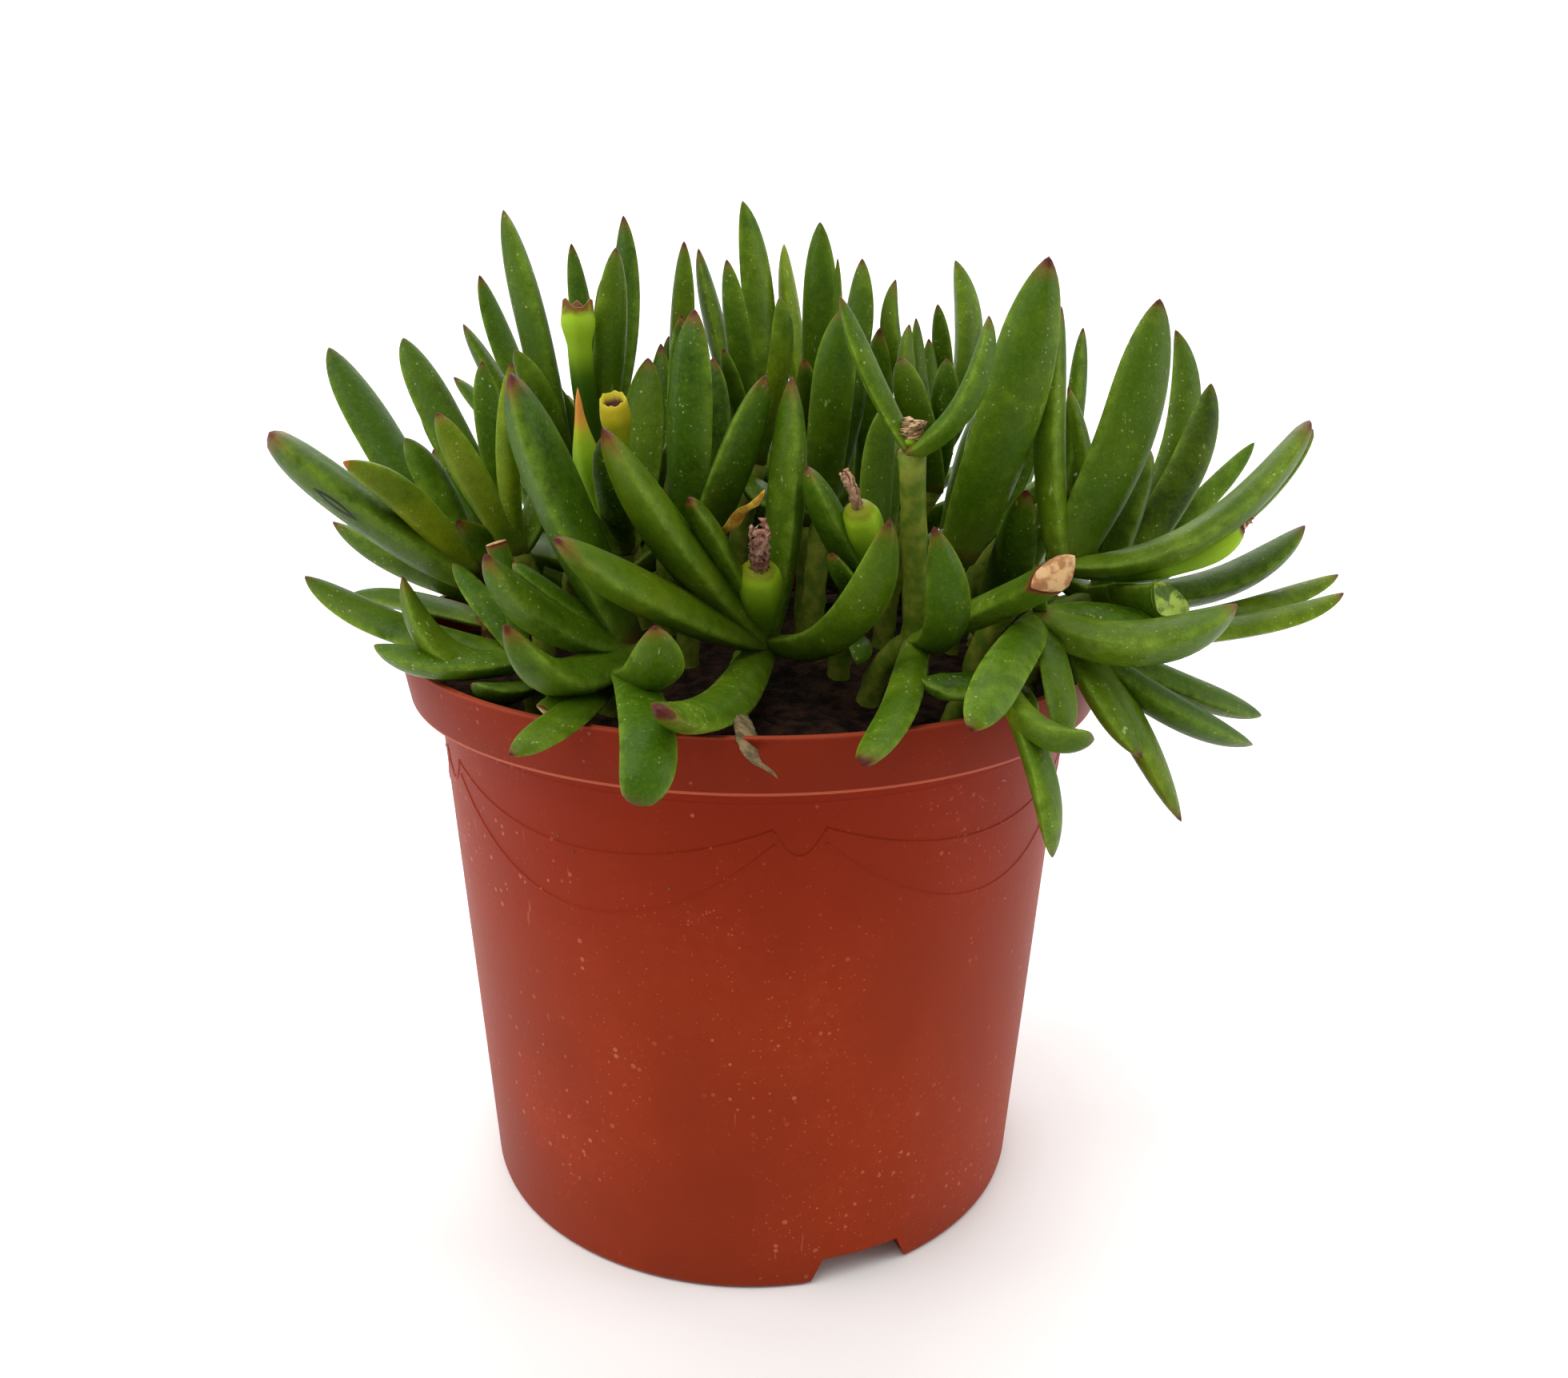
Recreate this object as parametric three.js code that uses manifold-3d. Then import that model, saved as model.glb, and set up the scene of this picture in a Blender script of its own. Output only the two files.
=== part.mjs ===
// A pot of pig ear succulent: thick finger-like leaves in opposite pairs on short stems, green seed
// capsules with withered flowers on top, potting soil, and a moulded nursery pot with a stepped rim.
// Millimetres, +Z up. The origin is the centre of the pot's flat underside, and -Y is the front.
import * as THREE from "three";
import { mergeVertices } from "three/addons/utils/BufferGeometryUtils.js";
import Module from "manifold-3d";

const wasm = await Module();
wasm.setup();

// Pot
const RIM_RADIUS = 75;
const POT_HEIGHT = 0.83 * 2 * RIM_RADIUS;
const WALL = 1.3;
const BAND_HEIGHT = 0.152 * RIM_RADIUS;
const BAND_FOOT_RADIUS = 0.973 * RIM_RADIUS;
const BODY_TOP_RADIUS = 0.9 * RIM_RADIUS;
const BASE_RADIUS = 0.805 * RIM_RADIUS;
const BASE_ROUNDING = 1.6;
const POT_SIDES = 48;
const BAND_EDGE = 0.5;
const RIM_EDGE = 0.6;
const RIM_INSET = 0.4;
const RIM_LEAN = 0.2;

// Drainage notches in the foot and hanger holes below the rim
const NOTCH_COUNT = 3;
const NOTCH_BEARING = 21.6;
const NOTCH_WIDTH = 23;
const NOTCH_HEIGHT = 6.5;
const NOTCH_DEPTH = 20;
const NOTCH_TOP_SHARE = 0.72;
const NOTCH_PAST = 20;
const HANGER_BEARINGS = [-78, 102];
const HANGER_WIDTH = 5;
const HANGER_HEIGHT = 3;
const HANGER_DROP = 5;
const HANGER_CUT = 12;

// Soil
const SOIL_EDGE = POT_HEIGHT - 11.2;
const SOIL_MOUND = 5.5;
const SOIL_SIDES = 24;
const SOIL_RINGS = 3;
const SOIL_INSET = 1.2;
const STEM_DEPTH = 9;
const GAP = 0.3;

// The eye that the leaves were measured from: their places are points of its picture, with a depth
const EYE = { back: 3.897 * RIM_RADIUS, height: POT_HEIGHT + 1.0535 * RIM_RADIUS };
const EYE_PITCH = THREE.MathUtils.degToRad(17.957);
const EYE_YAW = THREE.MathUtils.degToRad(1.261);
const EYE_ROLL = THREE.MathUtils.degToRad(0.634);
const PICTURE = { centreX: 980, centreY: 861.5, focal: 1743 };

const eye = new THREE.Vector3(0, -EYE.back, EYE.height);
const ahead = new THREE.Vector3(
  Math.sin(EYE_YAW) * Math.cos(EYE_PITCH),
  Math.cos(EYE_YAW) * Math.cos(EYE_PITCH),
  -Math.sin(EYE_PITCH),
);
const levelRight = new THREE.Vector3(Math.cos(EYE_YAW), -Math.sin(EYE_YAW), 0);
const levelUp = levelRight.clone().cross(ahead);
const pictureRight = levelRight
  .clone()
  .multiplyScalar(Math.cos(EYE_ROLL))
  .addScaledVector(levelUp, Math.sin(EYE_ROLL));
const pictureUp = levelRight
  .clone()
  .multiplyScalar(-Math.sin(EYE_ROLL))
  .addScaledVector(levelUp, Math.cos(EYE_ROLL));

// The point seen at picture x, y that lies at that depth: its Y, behind (+) or in front (-) of the axis.
function seen([x, y, depth]) {
  const ray = ahead
    .clone()
    .addScaledVector(pictureRight, (x - PICTURE.centreX) / PICTURE.focal)
    .addScaledVector(pictureUp, (PICTURE.centreY - y) / PICTURE.focal);
  return eye.clone().addScaledVector(ray, (depth - eye.y) / ray.y);
}

// Millimetres across one picture unit at a point.
const unitAt = (point) => point.clone().sub(eye).dot(ahead) / PICTURE.focal;

// Half width of a leaf or capsule, as a share of its greatest, against the share of its length
const LEAF_PROFILE = [
  [0, 0.62],
  [0.34, 0.97],
  [0.66, 0.98],
  [0.88, 0.6],
  [1, 0],
];
const SLIM_PROFILE = [
  [0, 0.66],
  [0.46, 1],
  [0.84, 0.68],
  [1, 0],
];
const BLUNT_PROFILE = [
  [0, 0.62],
  [0.4, 1],
  [0.85, 0.98],
  [1, 0.9],
];
const ROUND_PROFILE = [
  [0, 0.62],
  [0.35, 1],
  [0.72, 0.98],
  [0.92, 0.7],
  [1, 0.3],
];
const CAPSULE_PROFILE = [
  [0, 0.42],
  [0.3, 0.6],
  [0.62, 1],
  [0.86, 0.96],
  [1, 0.6],
];
const BLOOM_PROFILE = [
  [0, 0.8],
  [0.4, 0.7],
  [0.75, 1],
  [1, 0.8],
];
const BUD_PROFILE = [
  [0, 0.3],
  [0.34, 0.72],
  [0.52, 1],
  [0.68, 0.7],
  [0.84, 0.28],
  [1, 0],
];

// Cross-sections, across the width and toward the stem: a leaf is flatter inside than outside
const LEAF_SECTION = [
  [1, 0.1],
  [0.6, 0.8],
  [-0.6, 0.8],
  [-1, 0.1],
  [0, -1],
];
const LEAF_THICKNESS = 0.72;
const SLIM_WIDTH = 36;
const AXIS_LIFT = new THREE.Vector3(0, 0, 0.6);
const AIM_SHARE = 0.6;
const ROUND_SECTION = [];
for (let k = 0; k < 6; k += 1) {
  ROUND_SECTION.push([Math.cos((k * Math.PI) / 3), Math.sin((k * Math.PI) / 3)]);
}
const STALK_SHARE = 0.72;
const STALK_TO = 0.4;
const RAGGED_LEAST = 0.75;
const RAGGED_MORE = 0.5;
const STEM_RADIUS = 2.5;
const STEM_SIDES = 5;
const STEM_SPRING = 0.55;
const LEAST_RISE = 2;
const STEM_POINTS = 8;
const HOLE_RADIUS = STEM_RADIUS + 1;
const HOLE_RISE = 9;
const WITHERED_THICKNESS = 0.35;

// The stems and leaves that show from the front. crown, tip and via are picture x, picture y and depth;
// foot is where the stem leaves the soil, in X and Y; wide is a leaf's width in picture units; up is how
// far up the stem it grows, from 0 at the soil to 1 at the crown; stalk is the share of a capsule's
// length that its stalk takes up, and seat the share of it below its flower.
const SHOWN = [
  {
    foot: [-54, -10],
    crown: [590, 722, -10],
    leaves: [
      { tip: [336, 540, -14], via: [472, 650, -14], wide: 68, round: true },
      { tip: [428, 577, -26], via: [513, 606, -23], wide: 52 },
      { tip: [411, 434, 10], via: [470, 554, 4], wide: 58 },
      { tip: [506, 547, -6], via: [552, 612, -8], wide: 48 },
      { tip: [438, 743, 8], via: [505, 754, 6], wide: 34, up: 0.5 },
    ],
  },
  {
    foot: [-42, -36],
    crown: [655, 822, -40],
    leaves: [
      { tip: [381, 720, -24], via: [476, 799, -30], wide: 48 },
      { tip: [503, 720, -44], via: [541, 859, -46], wide: 48 },
      { tip: [468, 806, -42], via: [542, 876, -50], wide: 48 },
      { tip: [566, 704, -30], via: [614, 767, -36], wide: 34 },
      { tip: [620, 678, -42], via: [642, 740, -42], wide: 28, blunt: true },
      { tip: [588, 856, -50], via: [630, 876, -52], wide: 36, up: 0.5 },
    ],
  },
  {
    foot: [-28, -38],
    crown: [788, 803, -42],
    leaves: [
      { tip: [638, 466, -50], via: [697, 622, -46], wide: 84 },
      { tip: [606, 692, -60], via: [663, 792, -54], wide: 64 },
      { tip: [631, 780, -72], via: [696, 900, -66], wide: 62 },
      { tip: [636, 944, -86], via: [708, 916, -80], wide: 46, up: 0.5 },
      { tip: [817, 782, -76], via: [835, 880, -75], wide: 66, up: 0.6 },
      { tip: [793, 1006, -92], via: [840, 912, -94], wide: 70, up: 0.7, round: true },
      { tip: [641, 703, -48], via: [666, 731, -50], wide: 32 },
      { tip: [684, 897, -68], via: [700, 872, -66], wide: 32, up: 0.5, blunt: true },
      { tip: [742, 640, -30], via: [752, 730, -34], wide: 44 },
    ],
  },
  {
    foot: [-44, -11],
    crown: [648, 690, -14],
    leaves: [
      { tip: [640, 452, -30], via: [626, 570, -32], wide: 30 },
      { tip: [603, 451, -12], via: [606, 548, -18], wide: 36 },
      { tip: [546, 516, -27], via: [586, 594, -24], wide: 48 },
      { tip: [504, 422, 4], via: [544, 522, -2], wide: 52 },
      { tip: [527, 506, 0], via: [552, 562, -6], wide: 30 },
      { tip: [694, 556, -8], via: [676, 640, -10], wide: 42 },
    ],
  },
  {
    foot: [-40, 8],
    crown: [712, 620, 6],
    leaves: [
      { tip: [579, 405, 6], via: [634, 498, 6], wide: 32 },
      { tip: [599, 343, 20], via: [634, 466, 16], wide: 38 },
      { tip: [629, 262, 2], via: [676, 413, 0], wide: 48 },
      { tip: [567, 471, 20], via: [628, 535, 18], wide: 32 },
      { tip: [643, 437, -10], via: [684, 505, -8], wide: 42 },
    ],
  },
  {
    foot: [-33, -3],
    crown: [748, 580, 0],
    leaves: [
      { tip: [770, 309, -6], via: [764, 430, -8], wide: 42 },
      { tip: [779, 269, 12], via: [796, 412, 10], wide: 42 },
      { tip: [714, 304, 16], via: [731, 422, 12], wide: 30 },
      { tip: [753, 347, 22], via: [752, 440, 16], wide: 24 },
    ],
    capsules: [
      { tip: [722, 384, -10], via: [724, 480, -12], wide: 42, stalk: 0.66 },
    ],
  },
  {
    foot: [-28, -18],
    crown: [778, 690, -20],
    leaves: [
      { tip: [753, 546, -38], via: [768, 620, -36], wide: 46 },
      { tip: [810, 447, -10], via: [808, 560, -14], wide: 58 },
      { tip: [826, 429, 6], via: [828, 540, 0], wide: 34 },
      { tip: [640, 650, 4], via: [690, 715, -8], wide: 48 },
    ],
    capsules: [
      { tip: [722, 484, -30], via: [726, 590, -34], wide: 38, bud: true },
      { tip: [766, 500, -26], via: [782, 590, -26], wide: 38, stalk: 0.6 },
    ],
  },
  {
    foot: [-14, -14],
    crown: [868, 700, -20],
    leaves: [
      { tip: [868, 386, -28], via: [853, 545, -34], wide: 68 },
      { tip: [957, 469, -32], via: [916, 585, -32], wide: 60 },
      { tip: [890, 448, -12], via: [902, 545, -16], wide: 44 },
      { tip: [852, 392, -10], via: [840, 500, -12], wide: 30 },
      { tip: [957, 614, -46], via: [912, 657, -44], wide: 14, dry: true },
    ],
  },
  {
    foot: [-20, 10],
    crown: [850, 570, 10],
    leaves: [
      { tip: [855, 301, 8], via: [852, 430, 6], wide: 34 },
      { tip: [836, 420, 18], via: [841, 495, 14], wide: 32 },
    ],
  },
  {
    foot: [-5, 6],
    crown: [945, 580, 8],
    leaves: [
      { tip: [908, 324, 0], via: [925, 440, -2], wide: 38 },
      { tip: [928, 251, 16], via: [962, 384, 16], wide: 46 },
      { tip: [904, 436, -8], via: [920, 495, -6], wide: 26 },
      { tip: [974, 372, -4], via: [990, 436, -6], wide: 30 },
      { tip: [873, 310, 14], via: [899, 435, 12], wide: 34 },
    ],
  },
  {
    foot: [11, 8],
    crown: [1025, 590, 10],
    leaves: [
      { tip: [980, 304, 16], via: [990, 430, 14], wide: 34 },
      { tip: [1025, 277, 4], via: [1024, 420, 2], wide: 48 },
      { tip: [1078, 321, 20], via: [1080, 440, 18], wide: 44 },
      { tip: [1005, 448, -10], via: [1012, 520, -8], wide: 34 },
    ],
  },
  {
    foot: [-3, -20],
    crown: [958, 800, -24],
    leaves: [
      { tip: [692, 672, -70], via: [815, 758, -56], wide: 68 },
      { tip: [753, 534, -54], via: [842, 690, -48], wide: 72 },
      { tip: [990, 468, -36], via: [998, 640, -40], wide: 62 },
      { tip: [1113, 648, -60], via: [1080, 844, -58], wide: 60 },
      { tip: [820, 886, -86], via: [905, 933, -72], wide: 60, round: true },
      { tip: [970, 977, -86], via: [882, 926, -68], wide: 30, dry: true },
      { tip: [860, 622, -48], via: [897, 669, -44], wide: 44 },
    ],
    capsules: [
      { tip: [952, 652, -40], via: [944, 722, -40], wide: 56, seat: 0.62, bloom: 30 },
    ],
  },
  {
    foot: [22, -34],
    crown: [1140, 564, -46],
    knee: [1145, 795, -38],
    leaves: [
      { tip: [1050, 370, -42], via: [1084, 470, -44], wide: 34 },
      { tip: [1236, 394, -48], via: [1228, 515, -54], wide: 42 },
      { tip: [1167, 658, -58], via: [1215, 830, -60], wide: 58, up: 0.5 },
      { tip: [1078, 955, -88], via: [1136, 895, -72], wide: 48, up: 0.5, round: true },
      { tip: [1318, 716, -64], via: [1276, 744, -46], wide: 52, up: 0.5, blunt: true },
    ],
    capsules: [
      { tip: [1140, 524, -47], via: [1141, 542, -47], wide: 24, seat: 0.45, bloom: 40 },
    ],
  },
  {
    foot: [17, -20],
    crown: [1094, 742, -28],
    leaves: [
      { tip: [1009, 583, -38], via: [1045, 660, -38], wide: 54 },
      { tip: [1040, 691, -50], via: [1054, 736, -46], wide: 32 },
      { tip: [1108, 505, -24], via: [1086, 600, -26], wide: 48 },
      { tip: [1124, 560, -16], via: [1104, 640, -18], wide: 32 },
      { tip: [1050, 650, -36], via: [1064, 706, -34], wide: 40 },
      { tip: [1072, 832, -40], via: [1084, 790, -36], wide: 30, up: 0.4 },
    ],
    capsules: [
      { tip: [1056, 588, -46], via: [1086, 660, -44], wide: 50, seat: 0.7, bloom: 18 },
    ],
  },
  {
    foot: [12, -9],
    crown: [1028, 640, -6],
    leaves: [
      { tip: [1056, 384, -18], via: [1034, 500, -18], wide: 54 },
      { tip: [1080, 445, -10], via: [1052, 550, -8], wide: 46 },
      { tip: [1047, 322, -2], via: [1050, 450, -2], wide: 18 },
      { tip: [1010, 590, -12], via: [1016, 620, -10], wide: 44 },
      { tip: [930, 590, 10], via: [965, 650, 2], wide: 44 },
    ],
  },
  {
    foot: [28, 2],
    crown: [1165, 610, -2],
    leaves: [
      { tip: [1137, 405, 2], via: [1124, 490, 0], wide: 32 },
      { tip: [1125, 446, -14], via: [1146, 515, -14], wide: 52 },
      { tip: [1183, 448, -14], via: [1184, 520, -14], wide: 38 },
      { tip: [1161, 423, 10], via: [1162, 500, 8], wide: 26 },
      { tip: [1145, 397, 6], via: [1149, 496, 4], wide: 26 },
    ],
  },
  {
    foot: [30, 18],
    crown: [1180, 560, 20],
    leaves: [
      { tip: [1120, 349, 20], via: [1094, 450, 20], wide: 34 },
      { tip: [1172, 380, 12], via: [1180, 460, 12], wide: 30 },
      { tip: [1194, 325, 24], via: [1237, 432, 22], wide: 44 },
      { tip: [1155, 470, 22], via: [1166, 520, 22], wide: 20 },
    ],
  },
  {
    foot: [34, -14],
    crown: [1196, 700, -20],
    leaves: [
      { tip: [1311, 322, -30], via: [1272, 513, -34], wide: 80 },
      { tip: [1240, 600, -8], via: [1226, 650, -12], wide: 34 },
      { tip: [1290, 520, -6], via: [1262, 620, -14], wide: 50 },
    ],
  },
  {
    foot: [44, -22],
    crown: [1328, 706, -28],
    leaves: [
      { tip: [1327, 381, -26], via: [1303, 550, -32], wide: 52 },
      { tip: [1450, 373, -22], via: [1419, 552, -28], wide: 80 },
      { tip: [1637, 525, -28], via: [1516, 718, -40], wide: 50, round: true },
      { tip: [1639, 534, -18], via: [1534, 712, -30], wide: 44, round: true },
    ],
    capsules: [
      { tip: [1566, 624, -26], via: [1508, 740, -30], wide: 40, seat: 0.84, bloom: 34, stalk: 0.4 },
    ],
  },
  {
    foot: [42, 0],
    crown: [1330, 620, 0],
    leaves: [
      { tip: [1354, 409, 4], via: [1350, 510, 2], wide: 30 },
      { tip: [1294, 442, 6], via: [1302, 540, 2], wide: 46 },
      { tip: [1398, 552, 4], via: [1376, 600, 2], wide: 44 },
    ],
  },
  {
    foot: [52, -10],
    crown: [1374, 745, -14],
    leaves: [
      { tip: [1438, 563, -14], via: [1417, 635, -18], wide: 46 },
      { tip: [1514, 479, -2], via: [1501, 600, -8], wide: 50 },
      { tip: [1469, 412, 12], via: [1520, 542, 6], wide: 46 },
      { tip: [1632, 656, -12], via: [1544, 754, -18], wide: 52 },
      { tip: [1462, 750, -38], via: [1424, 753, -26], wide: 50, blunt: true },
      { tip: [1335, 483, -10], via: [1370, 586, -12], wide: 30 },
      { tip: [1478, 670, -6], via: [1446, 702, -10], wide: 24 },
      { tip: [1568, 553, 6], via: [1500, 640, -2], wide: 30 },
      { tip: [1310, 690, 2], via: [1340, 735, -8], wide: 40 },
    ],
  },
  {
    foot: [44, -38],
    crown: [1302, 772, -44],
    leaves: [
      { tip: [1546, 755, -50], via: [1430, 837, -56], wide: 72 },
      { tip: [1213, 914, -84], via: [1244, 850, -74], wide: 60 },
      { tip: [1328, 925, -70], via: [1330, 856, -66], wide: 44 },
      { tip: [1291, 903, -68], via: [1288, 852, -64], wide: 24, up: 0.3 },
      { tip: [1297, 705, -50], via: [1296, 742, -48], wide: 26 },
      { tip: [1470, 790, -30], via: [1390, 765, -36], wide: 44 },
    ],
  },
  {
    foot: [54, -26],
    crown: [1340, 797, -32],
    leaves: [
      { tip: [1673, 718, -12], via: [1584, 774, -20], wide: 34 },
      { tip: [1680, 741, -26], via: [1594, 799, -30], wide: 36 },
      { tip: [1577, 894, -32], via: [1482, 882, -38], wide: 46 },
      { tip: [1566, 931, -42], via: [1425, 902, -52], wide: 52 },
      { tip: [1477, 1028, -54], via: [1358, 876, -50], wide: 48 },
      { tip: [1428, 948, -62], via: [1356, 880, -58], wide: 46 },
    ],
  },
  {
    foot: [36, -50],
    crown: [1250, 845, -57],
    leaves: [
      { tip: [1368, 924, -78], via: [1290, 936, -84], wide: 46 },
      { tip: [1152, 848, -62], via: [1190, 870, -66], wide: 44 },
      { tip: [1316, 1072, -76], via: [1317, 948, -82], wide: 46 },
    ],
  },
];

// The stems that the front ones hide stand on rings round the pot's centre, drawn with a fixed seed.
// bearings run from straight behind (0) to the right; lean is how far a stem tips outward, in degrees.
const HIDDEN_RINGS = [
  { radius: 55, bearings: [-73, -49, -25, 0, 25, 50, 75], rise: 10, lean: 37, length: 53 },
  { radius: 35, bearings: [-54, -18, 14, 46], rise: 23, lean: 18, length: 50 },
];
const HIDDEN_PAIRS = [
  { drop: 7, spread: 58, share: 1 },
  { drop: 2, spread: 34, share: 0.96 },
  { drop: 0, spread: 13, share: 0.74 },
];
const HIDDEN_HALF_WIDTH = 4.6;
const TOP_PAIR_WIDTH = 0.8;
const HIDDEN_BOW = 0.1;
const HIDDEN_DROOP = 0.04;
// How far the draws vary them: degrees, millimetres, radians, and least and added shares
const VARY = {
  bearing: 10,
  foot: 5,
  lean: 14,
  rise: [0.85, 0.3],
  round: 0.3,
  spread: 12,
  length: [0.88, 0.24],
  width: [0.8, 0.45],
};
const LOWEST_AIM = 0.2;
const SEED = 4116;

// Leaves that would cross are bent clear of each other, of the soil and of the rim
const CLEARANCE = 0.6;
const BEND_ROUNDS = 140;
const PUSH = 0.4;
const BEND_TO = 0.75;
const POT_PUSH = 0.5;
const LEAST_LEVER = 0.3;
const HELD_SHARE = 0.1;
const TINY = 1e-6;
const LEAST_SHARE = 0.08;
const LONGEST_STEP = 1.2;
const BAND_REACH = 6;
const CROSSING = 0.4;
const BEND_SHARES = [0.14, 0.22, 0.3, 0.38, 0.46, 0.54, 0.62, 0.7, 0.78, 0.86, 0.93, 1];
const SIGHT_LEAST = 0.45;
const RIM_HALF = 0.75;
const RIM_MIDDLE = RIM_RADIUS - RIM_HALF;
const RIM_TOP = POT_HEIGHT - RIM_HALF;
const NEAR = 26;
const TOUCHING = 0.1;
const SLIVER = 0.04;
const MERGED = 1e-4;
const SEARCHED = 1;

let seedState = SEED;

// A draw from 0 to 1 that is the same each time.
function draw() {
  seedState = (Math.imul(seedState, 1664525) + 1013904223) >>> 0;
  return seedState / 4294967296;
}

function soilHeight(x, y) {
  const share = Math.hypot(x, y) / (RIM_RADIUS - WALL);
  return SOIL_EDGE + SOIL_MOUND * (1 - share * share);
}

function bezier(from, via, to, t) {
  return from
    .clone()
    .multiplyScalar((1 - t) * (1 - t))
    .addScaledVector(via, 2 * t * (1 - t))
    .addScaledVector(to, t * t);
}

function bezierAlong(from, via, to, t) {
  return via
    .clone()
    .sub(from)
    .multiplyScalar(1 - t)
    .addScaledVector(to.clone().sub(via), t)
    .normalize();
}

function profileAt(profile, t) {
  for (let k = 1; k < profile.length; k += 1) {
    const [end, wide] = profile[k];
    const [start, before] = profile[k - 1];
    if (t <= end) {
      return before + ((wide - before) * (t - start)) / (end - start);
    }
  }
  return profile[profile.length - 1][1];
}

// Five points up the middle of a stem, from the soil to its crown.
function stemPath(foot, crown, knee) {
  const ground = new THREE.Vector3(foot[0], foot[1], soilHeight(foot[0], foot[1]));
  const bend = knee ?? crown;
  const rise = ground.clone();
  rise.z += STEM_SPRING * Math.max(bend.z - ground.z, LEAST_RISE);
  if (knee) {
    return [ground, bezier(ground, rise, knee, 0.5), knee, knee.clone().lerp(crown, 0.5), crown];
  }
  return [0, 0.25, 0.5, 0.75, 1].map((t) => bezier(ground, rise, crown, t));
}

function pointAlong(path, share) {
  const place = share * (path.length - 1);
  const k = Math.min(Math.floor(place), path.length - 2);
  return path[k].clone().lerp(path[k + 1], place - k);
}

// Two directions across a leaf: along its width, and toward the stem that it grows from.
function leafAxes(leaf, path) {
  const chord = leaf.tip.clone().sub(leaf.root);
  const crown = path[path.length - 1];
  const axis = crown.clone().sub(path[2]).normalize().add(AXIS_LIFT).normalize();
  const middle = bezier(leaf.root, leaf.via, leaf.tip, 0.5);
  const toAxis = crown.clone().addScaledVector(axis, AIM_SHARE * chord.length()).sub(middle);
  const along = chord.clone().normalize();
  leaf.across = toAxis.clone().cross(along).normalize();
  leaf.inner = along.clone().cross(leaf.across).normalize();
}

// The half width that gives a leaf its measured width as the eye sees it.
function fitWidth(leaf, wide, thickness) {
  const middle = bezier(leaf.root, leaf.via, leaf.tip, 0.5);
  const sight = middle.clone().sub(eye).normalize();
  const along = leaf.tip.clone().sub(leaf.root).normalize();
  const side = sight.clone().cross(along).normalize();
  const turned = Math.hypot(leaf.across.dot(side), thickness * leaf.inner.dot(side));
  leaf.half = (0.5 * wide * unitAt(middle)) / turned;
}

// A capsule's profile above a stalk that takes up that share of its length.
function stalked(profile, stalk) {
  if (stalk === 0) {
    return profile;
  }
  const above = profile.map(([t, share]) => [
    stalk + (1 - stalk) * t,
    t < STALK_TO ? STALK_SHARE : share,
  ]);
  return [[0, STALK_SHARE], ...above];
}

const shoots = [];

SHOWN.forEach(({ foot, crown, knee, leaves, capsules = [] }, k) => {
  const path = stemPath(foot, seen(crown), knee && seen(knee));
  const shoot = { name: `leafy_stem_${String(k + 1).padStart(2, "0")}`, path, leaves: [] };
  for (const { tip, via, wide, up = 1, blunt, round, dry } of leaves) {
    const leaf = { root: pointAlong(path, up), via: seen(via), tip: seen(tip), sighted: true, dry };
    leaf.profile = wide < SLIM_WIDTH ? SLIM_PROFILE : LEAF_PROFILE;
    if (blunt || round) {
      leaf.profile = blunt ? BLUNT_PROFILE : ROUND_PROFILE;
    }
    leaf.thickness = dry ? WITHERED_THICKNESS : LEAF_THICKNESS;
    leaf.section = LEAF_SECTION;
    leafAxes(leaf, path);
    fitWidth(leaf, wide, leaf.thickness);
    shoot.leaves.push(leaf);
  }
  for (const { tip, via, wide, bud, seat = 1, stalk = 0, bloom } of capsules) {
    const fruit = { root: pointAlong(path, 1), via: seen(via), tip: seen(tip), sighted: true };
    fruit.seat = seat;
    fruit.bloom = bloom && bloom / wide;
    fruit.fruitProfile = stalked(bud ? BUD_PROFILE : CAPSULE_PROFILE, stalk);
    fruit.profile = fruit.fruitProfile.map(([t, share]) => [t * seat, share]);
    if (bloom) {
      fruit.profile.push([1, fruit.bloom]);
    }
    fruit.thickness = 1;
    fruit.section = ROUND_SECTION;
    leafAxes(fruit, path);
    fitWidth(fruit, wide, 1);
    shoot.leaves.push(fruit);
  }
  shoots.push(shoot);
});

// A share between the least and the least with all of the rest added.
const drawnShare = ([least, more]) => least + more * draw();

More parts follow.
